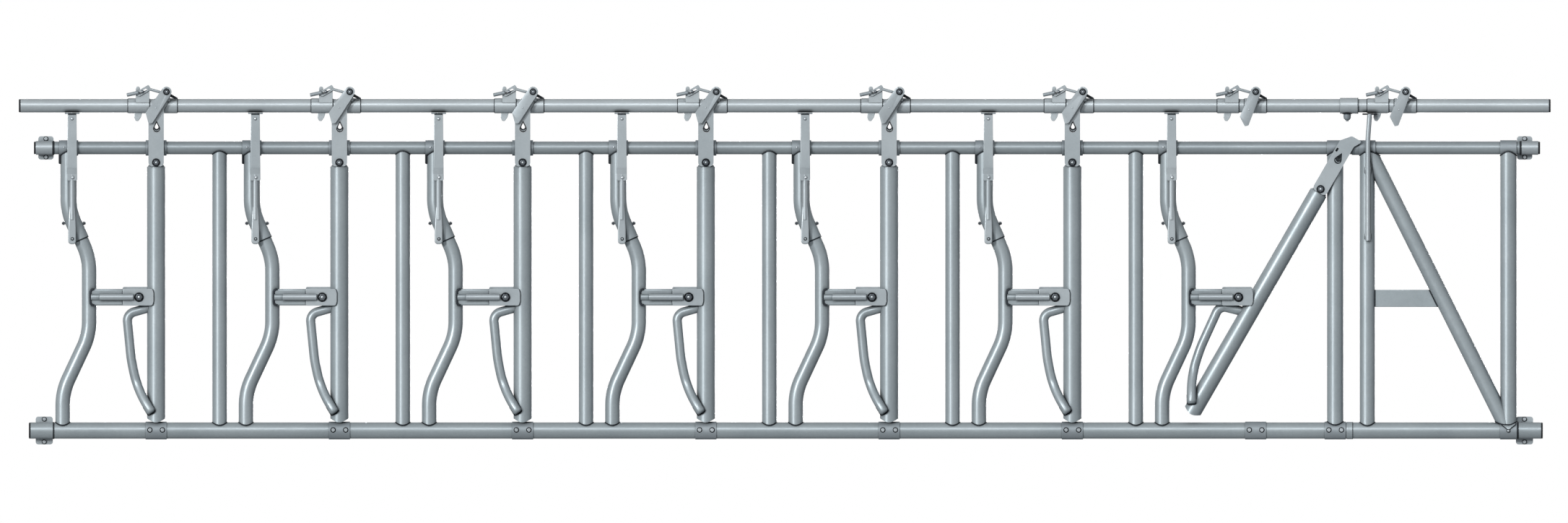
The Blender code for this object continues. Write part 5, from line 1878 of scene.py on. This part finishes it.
    def _bolts(self) -> Shape:
        """The lever's bolt and the selector's rivet, with their washers.

        Returns:
            The dressed shape.
        """
        shape = Shape()
        rise, back = LAYOUT.bolt_rise, self.collar_radius
        face = self.lever_back + self.lever_thickness + SEAT_GAP
        # centre gives the bolt head a bright dome, a painted highlight
        bolt = HexBolt(self.lever_shank, 0.0082, 0.0036, washer=0.0112, washer_height=0.0012, centre=0.0028)
        bolt.add(shape, facing(0.0, -face, rise), Finishes.head)
        shank = pin(back, face + PIN_OVERRUN, self.lever_shank)
        shape.add(shank, Finishes.bolt, facing(0.0, 0.0, rise))
        x = LAYOUT.selector_from_bolt
        end = back + self.selector_gap + self.selector_thickness + PIN_OVERRUN
        shape.add(pin(back, end, self.selector_shank), Finishes.bolt, facing(x, 0.0, rise))
        shape.add(rivet(0.0052, 0.0026), Finishes.head, facing(x, -end, rise))
        return shape

    def _coupling(self, workshop: Workshop) -> None:
        """The sleeve over the joint of the tube, with its clamp bolt hanging below.

        Args:
            workshop: Dresses and hangs the pieces.
        """
        start, end = self.coupling
        radius, edge = self.coupling_radius, self.coupling_edge
        inside = self.radius + SEAT_GAP
        profile = ((start, inside), (start, radius - edge), (start + edge, radius), (end - edge, radius),
                   (end, radius - edge), (end, inside))
        level = LAYOUT.along(0.0, LAYOUT.control)
        shape = Shape().add(turned(profile, closed=True), Finishes.control, level)
        middle = end - self.coupling_split
        low, high = radius - 0.001, radius + 0.0004
        left, right = middle - 0.001, middle + 0.001
        split = ((left, low), (left, high), (right, high), (right, low))
        shape.add(turned(split, closed=True), Finishes.weld, level)
        down = Matrix.Rotation(math.pi / 2, 4, "Y")
        spot = LAYOUT.along(self.coupling_bolt, LAYOUT.control - radius + 0.002) @ down
        shape.add(turned(self.flange, ROD_SIDES), Finishes.dark, spot)
        shape.add(turned(self.cup, ROD_SIDES), Finishes.casting, spot)
        workshop.deliver(shape, [("tube_coupling", "control", Matrix())], replaces=True)


@dataclass(frozen=True)
class LatchGear:
    """The latch levers and the selectors that sit on the control tube."""

    back: float = 0.045
    thickness: float = 0.005
    top_radius: float = 0.0170
    end_half: float = 0.0188
    length: float = 0.1200
    tip_x: float = 0.0085
    shoulders: Point = (0.0235, 0.0070)
    bolt_hole: float = 0.0063
    pin_radius: float = 0.003
    pin_tip: float = 0.0346
    pin_edge: float = 0.0005
    mark: Point = (0.0012, -0.0630)
    selector_back: float = -0.0255
    selector_thickness: float = 0.005
    selector_ends: tuple[Point, Point] = ((-0.0185, -0.0090), (0.0245, 0.0160))
    selector_half: float = 0.0090
    slot_reach: Point = (-0.0135, 0.0165)
    slot_share: float = 0.46
    slot_corner: float = 0.0038
    handle_depth: float = 0.0064
    handle: tuple[Point, Point] = ((-0.0525, -0.0108), (-0.014, -0.0025))
    handle_radius: float = 0.0060
    rod: tuple[Point, Point] = ((0.0215, 0.0092), (0.0632, -0.0024))
    rod_radius: float = 0.0046

    def build(self, workshop: Workshop) -> None:
        """Builds the levers and the selectors.

        Args:
            workshop: Dresses and hangs the pieces.
        """
        units = range(LAYOUT.places + 1)
        level = LAYOUT.control + LAYOUT.bolt_rise
        levers = []
        for unit in units:
            tilt = LAYOUT.closed_tilt if unit < LAYOUT.open_place else LAYOUT.open_tilt
            levers.append(LAYOUT.along(LAYOUT.latch(unit), level) @ Matrix.Rotation(tilt, 4, "Y"))
        workshop.deliver(self._lever(), numbered("latch_lever", levers, "lever_"), replaces=True)
        selectors = [LAYOUT.along(LAYOUT.latch(unit) + LAYOUT.selector_from_bolt, level) for unit in units]
        workshop.deliver(self._selector(), numbered("selector", selectors, "selector_"), replaces=True)

    def _lever(self) -> Shape:
        """The tapered lever, hanging straight down, with its pin riveted in.

        Returns:
            The dressed shape.
        """
        outline = self._lever_outline()
        hole = circle(0.0, 0.0, self.bolt_hole)
        front = -self.back - self.thickness
        shape = Shape().add(flat_plate(outline, front, -self.back, 0.0008, (hole,)), Finishes.bright)
        root, tip, radius, edge = self.back - 0.0005, self.pin_tip, self.pin_radius, self.pin_edge
        profile = ((root, 0.0), (root, radius), (tip + edge, radius), (tip, radius - edge), (tip, 0.0))
        pin_x, pin_z = LAYOUT.latch_pin
        shape.add(turned(profile, ROD_SIDES), Finishes.bolt, facing(pin_x, 0.0, pin_z))
        x, z = self.mark
        shape.add(rivet(0.0030, 0.0012), Finishes.bright, facing(x, front + SEAT_GAP, z))
        return shape

    def _lever_outline(self) -> list[Point]:
        """The round head about the bolt and the pointed end below it.

        Returns:
            Its corners.
        """
        steps, top = 18, self.top_radius
        turns = [math.pi * k / steps for k in range(steps + 1)]
        head = [(top * math.cos(turn), top * math.sin(turn)) for turn in turns]
        half, length = self.end_half, self.length
        left, right = self.shoulders
        end = rounded(((-top, 0.0), (-half, -length + left), (self.tip_x, -length), (half, -length + right),
                       (top, 0.0)), (0.0, 0.003, 0.003, 0.004, 0.0), closed=False)
        return head + end[1:-1]

    def _selector(self) -> Shape:
        """The slanted plate with its handle on the left and the rod towards the lever.

        Returns:
            The dressed shape.
        """
        back = self.selector_back
        low, high = (Vector(point) for point in self.selector_ends)
        run = (high - low).normalized()
        across = Vector((-run.y, run.x)) * self.selector_half
        outline = rounded(self._band(low, high, across), (0.006, 0.003, 0.004, 0.006))
        near, far = self.slot_reach
        slot = rounded(self._band(run * near, run * far, across * self.slot_share), (self.slot_corner,) * 4)
        plate = flat_plate(outline, back - self.selector_thickness, back, 0.0008, (slot,))
        shape = Shape().add(plate, Finishes.bright)
        handle = in_plane(self.handle, back - self.handle_depth)
        shape.add(soften(round_bar(handle, self.handle_radius), 0.0018), Finishes.casting)
        rod = in_plane(self.rod, back - self.selector_thickness)
        shape.add(soften(round_bar(rod, self.rod_radius), 0.0012), Finishes.bright)
        return shape

    @staticmethod
    def _band(low: Vector, high: Vector, across: Vector) -> list[Point]:
        """The four corners of a straight band between two points."""
        return [tuple(point) for point in (low - across, high - across, high + across, low + across)]


@dataclass(frozen=True)
class BraceFrame:
    """The braced end of the panel with the last strut of the control tube."""

    left_radius: float = 0.025
    right_radius: float = 0.027
    diagonal_radius: float = 0.026
    inset: float = 0.02
    middle: float = 0.47
    diagonal_inset: float = 0.035
    bar_level: float = 0.4392
    bar_half: float = 0.0285
    bar_thickness: float = 0.012
    casting_front: float = 0.0300
    tab_levels: Point = (0.0235, 0.0015)
    tab_half: float = 0.0235
    tab_straight: float = 0.15
    tab_thickness: float = 0.0022
    strut_x: float = 4.4005
    strut_head: float = 4.4065
    strut_y: float = -0.0338
    strut_radius: float = 0.008
    strut_levels: Point = (0.630, 0.968)
    strut_top_gap: float = 0.0253
    clip_levels: Point = (0.645, 0.865)
    clip_half: Point = (0.010, 0.011)
    clip_back: float = -0.0235
    foot_plate: FootPlate = FootPlate()

    def build(self, workshop: Workshop) -> None:
        """Builds the two posts, the diagonal, the crossbar and the strut.

        Args:
            workshop: Dresses and hangs the pieces.
        """
        shape = Shape()
        left, right = LAYOUT.brace_left, LAYOUT.brace_right
        levels = (self.inset, self.middle, LAYOUT.top - self.inset)
        for x, radius, foot in ((left, self.left_radius, Seats.shallow_bottom_rail),
                                (right, self.right_radius, Seats.casting)):
            weld_tube(shape, in_plane([(x, level) for level in levels]), radius, foot, Seats.tee)
        low, high = Vector((right, 0.0, LAYOUT.bottom)), Vector((left, 0.0, LAYOUT.top))
        inset = (high - low).normalized() * self.diagonal_inset
        weld_tube(shape, [low + inset, (low + high) / 2, high - inset], self.diagonal_radius, Seats.casting,
                  Seats.tee)
        self._crossbar(shape, left, right)
        self._tab(shape, right)
        self._strut(shape)
        workshop.deliver(shape, [("brace_frame", "frame", LAYOUT.along(0.0))], replaces=True)

    def _crossbar(self, shape: Shape, left: float, right: float) -> None:
        """The flat bar from the left post to the diagonal, welded at both ends.

        Args:
            shape: The shape that takes them.
            left: X of the left post.
            right: X of the right post.
        """
        slope = (right - left) / LAYOUT.top
        end = right - slope * self.bar_level
        half, rise = self.bar_thickness / 2, self.bar_half
        shape.add(block((left, end), (-half, half), (self.bar_level - rise, self.bar_level + rise), 0.0015),
                  Finishes.galvanised)
        for x, lean in ((left + self.left_radius, 0.0), (end - self.diagonal_radius * 1.15, slope)):
            for side in Side:
                seam = [Vector((x - lean * level, side.value * half, self.bar_level + level))
                        for level in (-rise, rise)]
                shape.add(bead(seam, 0.0022), Finishes.weld)

    def _tab(self, shape: Shape, x: float) -> None:
        """The pointed tab of the right post, riveted to the front of its casting.

        Args:
            shape: The shape that takes them.
            x: X of the post.
        """
        steps, (top, tip) = 12, self.tab_levels
        sides = (-1.0, -0.5, 0.0, 0.5, 1.0)
        form = bmesh.new()
        rows = []
        for k in range(steps + 1):
            share = k / steps
            level = top + (tip - top) * share
            taper = max(share - self.tab_straight, 0.0) / (1.0 - self.tab_straight)
            half = self.tab_half * (1.0 - taper) + 0.0006
            front = -math.sqrt(self.casting_front ** 2 - level ** 2) - 0.0004
            rows.append([form.verts.new((x + half * side, front - depth, LAYOUT.bottom + level))
                         for depth in (0.0, self.tab_thickness) for side in sides])
        loop = (0, 1, 2, 3, 4, 9, 8, 7, 6, 5)
        for first, second in zip(rows, rows[1:]):
            for a, b in [(i, i + 1) for i in (0, 1, 2, 3, 5, 6, 7, 8)] + [(0, 5), (4, 9)]:
                form.faces.new((first[a], first[b], second[b], second[a]))
        for row in (rows[0], rows[-1]):
            form.faces.new([row[i] for i in loop])
        sink = Vector((0.0, 0.0008, 0.0))
        seam = [row[5].co + sink for row in rows] + [row[9].co + sink for row in reversed(rows)]
        shape.add(recalculated(form), Finishes.galvanised)
        shape.add(bead(seam, 0.0014), Finishes.weld)
        spot = facing(x, -self.casting_front - self.tab_thickness, LAYOUT.bottom - 0.0010)
        shape.add(rivet(0.0058, 0.0012), Finishes.dark, spot)
        shape.add(rivet(0.0042, 0.0026), Finishes.bolt, spot)

    def _strut(self, shape: Shape) -> None:
        """The round strut in front of the left post, its clips and its foot.

        Args:
            shape: The shape that takes them.
        """
        x, y = self.strut_x, self.strut_y
        low, knee = self.strut_levels
        top = LAYOUT.control - self.strut_top_gap
        path = in_plane(rounded(((x, low), (x, knee), (self.strut_head, top - 0.002)), (0.0, 0.05, 0.0),
                                closed=False), y)
        shape.add(soften(round_bar(path, self.strut_radius), 0.0014), Finishes.bright)
        half, rise = self.clip_half
        for level in self.clip_levels:
            shape.add(block((x - half, x + half), (y, self.clip_back), (level - rise, level + rise), 0.0015),
                      Finishes.bright)
            for edge in (x - half, x + half):
                seam = [Vector((edge, self.clip_back - 0.0008, level + step)) for step in (-0.010, 0.010)]
                shape.add(bead(seam, 0.0017), Finishes.weld)
        shape.add(self.foot_plate.form(self.strut_head, y - 0.004, top), Finishes.dark)


@dataclass(frozen=True)
class ClampSize:
    """The sizes of a clamp: rail radius, plate width and height, and distance between the bolts."""

    rail: float
    width: float
    height: float
    spacing: float


@dataclass(frozen=True)
class EndClamps:
    """The four clamps that bolt the panel to its posts."""

    lower: ClampSize = ClampSize(0.027, 0.057, 0.0926, 0.0754)
    upper: ClampSize = ClampSize(0.0228, 0.051, 0.0775, 0.0608)
    lower_centres: Point = (0.0, 4.921)
    upper_centres: Point = (0.0055, 4.9215)
    plate: float = 0.008
    plate_corner: float = 0.009
    hole_radius: float = 0.0055
    shank_radius: float = 0.0052
    saddle_half: float = 0.021
    saddle_back: float = -0.004
    saddle_gap: float = 0.0004

    def build(self, workshop: Workshop) -> None:
        """Builds the clamps and their bolts.

        Args:
            workshop: Dresses and hangs the pieces.
        """
        for word, level, centres, size in (("lower", LAYOUT.bottom, self.lower_centres, self.lower),
                                           ("upper", LAYOUT.top, self.upper_centres, self.upper)):
            for end, x in zip(("left", "right"), centres):
                self._clamp(workshop, f"end_clamp_{word}_{end}", x, level, size)

    def _clamp(self, workshop: Workshop, name: str, x: float, z: float, size: ClampSize) -> None:
        """One clamp plate with its saddle, and the two bolts in it.

        Args:
            workshop: Dresses and hangs the pieces.
            name: Name of the clamp's node.
            x: Middle of the plate along the panel.
            z: Level of the rail's axis.
            size: The clamp's sizes.
        """
        half, rise = size.width / 2, size.height / 2
        outline = rounded(((x - half, z - rise), (x + half, z - rise), (x + half, z + rise),
                           (x - half, z + rise)), (self.plate_corner,) * 4)
        levels = [z + side * size.spacing / 2 for side in (-1, 1)]
        holes = [circle(x, level, self.hole_radius) for level in levels]
        shape = Shape().add(flat_plate(outline, -self.plate, 0.0, 0.001, holes), Finishes.bright)
        shape.add(self._saddle(x - half, x + half, z, size.rail), Finishes.bright)
        workshop.deliver(shape, [(name, "frame", Matrix())], replaces=True)
        bolts = Shape()
        for level in levels:
            spot = facing(x, -self.plate, level)
            HexBolt(0.0050, 0.0064, 0.0058, washer=0.0080, washer_height=0.0012).add(bolts, spot)
            shank = pin(-self.plate + 0.0004, PIN_OVERRUN, self.shank_radius)
            bolts.add(shank, Finishes.bolt, spot)
        workshop.deliver(bolts, [(f"{name}_bolts", "frame", Matrix())])

    def _saddle(self, start: float, end: float, z: float, rail: float) -> Form:
        """The seat between the plate and the rail, hollowed to the rail's round.

        Args:
            start: X of its left side.
            end: X of its right side.
            z: Level of the rail's axis.
            rail: Radius of the rail.

        Returns:
            The seat as a new mesh.
        """
        steps, half, radius = 24, self.saddle_half, rail + self.saddle_gap
        limit = math.asin(min(half / radius, 1.0)) * 0.999
        turns = [limit * (1 - 2 * k / steps) for k in range(steps + 1)]
        seat = [(LAYOUT.plane + radius * math.cos(turn), z + radius * math.sin(turn)) for turn in turns]
        section = [(self.saddle_back, z - half), (self.saddle_back, z + half)]
        section += [point for point in seat if point[0] < self.saddle_back]
        form = bmesh.new()
        corners = [form.verts.new((start, y, level)) for y, level in section]
        face = form.faces.new(corners)
        grown = bmesh.ops.extrude_face_region(form, geom=[face])["geom"]
        moved = [item for item in grown if isinstance(item, bmesh.types.BMVert)]
        bmesh.ops.translate(form, vec=(end - start, 0.0, 0.0), verts=moved)
        return recalculated(form)


@dataclass(frozen=True)
class Studio:
    """The pale floor, the white background, the lamps and the camera."""

    middle: tuple[float, float, float] = (2.45928, 0.0, 0.5616)
    frame_width: float = 5.2128
    camera_distance: float = 12.0
    view_depth: float = 60.0
    floor_level: float = -0.30
    floor_half: float = 14.0
    floor_colour: Colour = (0.86, 0.87, 0.88)
    floor_lift: float = 0.42
    fill_colour: Colour = (0.90, 0.95, 1.0)
    fill: float = 0.09

    def build(self) -> None:
        """Sets up everything that isn't part of the panel."""
        self._floor()
        self._world()
        self._sun("key", Vector((-0.56, -0.80, 0.20)), 2.2, 8.0, (1.0, 0.995, 0.98))
        self._sun("front", Vector((-0.14, -0.88, 0.44)), 1.0, 10.0, (1.0, 1.0, 1.0))
        self._sun("back", Vector((0.05, 1.0, -0.02)), 2.3, 16.0, (0.97, 0.985, 1.0))
        self._camera()
        bpy.context.scene.view_settings.view_transform = "Standard"

    def _floor(self) -> None:
        """A wide pale floor under the panel."""
        form = bmesh.new()
        place = Matrix.Translation((self.middle[0], 0.0, self.floor_level))
        bmesh.ops.create_grid(form, x_segments=2, y_segments=2, size=self.floor_half, matrix=place)
        mesh = bpy.data.meshes.new("floor")
        form.to_mesh(mesh)
        form.free()
        floor = bpy.data.objects.new("floor", mesh)
        bpy.context.collection.objects.link(floor)
        material = bpy.data.materials.new("pale floor")
        material.use_nodes = True
        tree = material.node_tree
        shader = tree.nodes["Principled BSDF"]
        shader.inputs["Emission Color"].default_value = (1.0, 1.0, 1.0, 1.0)
        lift = tree.nodes.new("ShaderNodeMath")
        lift.operation = "MULTIPLY"
        lift.inputs[1].default_value = self.floor_lift
        tree.links.new(tree.nodes.new("ShaderNodeLightPath").outputs["Is Camera Ray"], lift.inputs[0])
        tree.links.new(lift.outputs["Value"], shader.inputs["Emission Strength"])
        shader.inputs["Base Color"].default_value = (*self.floor_colour, 1.0)
        shader.inputs["Roughness"].default_value = 0.85
        shader.inputs["Specular IOR Level"].default_value = 0.1
        mesh.materials.append(material)

    def _world(self) -> None:
        """White where it is seen or mirrored, and a dim even light on everything."""
        world = bpy.data.worlds.new("studio")
        bpy.context.scene.world = world
        world.use_nodes = True
        tree = world.node_tree
        tree.nodes.clear()
        path = tree.nodes.new("ShaderNodeLightPath")
        seen = path.outputs["Is Camera Ray"]
        for ray in ("Is Glossy Ray", "Is Transmission Ray"):
            either = tree.nodes.new("ShaderNodeMath")
            either.operation = "MAXIMUM"
            tree.links.new(seen, either.inputs[0])
            tree.links.new(path.outputs[ray], either.inputs[1])
            seen = either.outputs["Value"]
        white = tree.nodes.new("ShaderNodeBackground")
        white.inputs["Color"].default_value = (1.0, 1.0, 1.0, 1.0)
        white.inputs["Strength"].default_value = 1.0
        dim = tree.nodes.new("ShaderNodeBackground")
        dim.inputs["Color"].default_value = (*self.fill_colour, 1.0)
        dim.inputs["Strength"].default_value = self.fill
        mix = tree.nodes.new("ShaderNodeMixShader")
        out = tree.nodes.new("ShaderNodeOutputWorld")
        tree.links.new(seen, mix.inputs["Fac"])
        tree.links.new(dim.outputs["Background"], mix.inputs[1])
        tree.links.new(white.outputs["Background"], mix.inputs[2])
        tree.links.new(mix.outputs["Shader"], out.inputs["Surface"])

    @staticmethod
    def _sun(name: str, source: Vector, strength: float, spread: float, colour: Colour) -> None:
        """A soft sun lamp.

        Args:
            name: Name of the lamp.
            source: The direction that it shines from.
            strength: Its strength.
            spread: The angle that it fills in the sky, in degrees.
            colour: Its colour.
        """
        lamp = bpy.data.lights.new(name, "SUN")
        lamp.energy = strength
        lamp.angle = math.radians(spread)
        lamp.color = colour
        light = bpy.data.objects.new(name, lamp)
        light.rotation_euler = source.to_track_quat("Z", "Y").to_euler()
        light.location = source * 8.0
        bpy.context.collection.objects.link(light)

    def _camera(self) -> None:
        """A parallel camera that looks straight at the panel's front."""
        lens = bpy.data.cameras.new("camera")
        lens.type = "ORTHO"
        lens.ortho_scale = self.frame_width
        lens.clip_end = self.view_depth
        camera = bpy.data.objects.new("camera", lens)
        camera.location = Vector(self.middle) - Vector((0.0, self.camera_distance, 0.0))
        camera.rotation_euler = (math.pi / 2, 0.0, 0.0)
        bpy.context.collection.objects.link(camera)
        bpy.context.scene.camera = camera


def main() -> None:
    """Builds the panel, piece by piece, and the studio round it."""
    logging.basicConfig(level=logging.INFO, format="%(name)s: %(message)s")
    for item in list(bpy.data.objects):
        bpy.data.objects.remove(item, do_unlink=True)
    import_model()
    workshop = Workshop()
    for assembly in (RailSet(), Posts(), NeckTubes(), SwingBars(), Struts(), ControlLine(), LatchGear(),
                     BraceFrame(), EndClamps()):
        LOG.info("building %s", type(assembly).__name__)
        assembly.build(workshop)
    Studio().build()


if __name__ == "__main__":
    main()
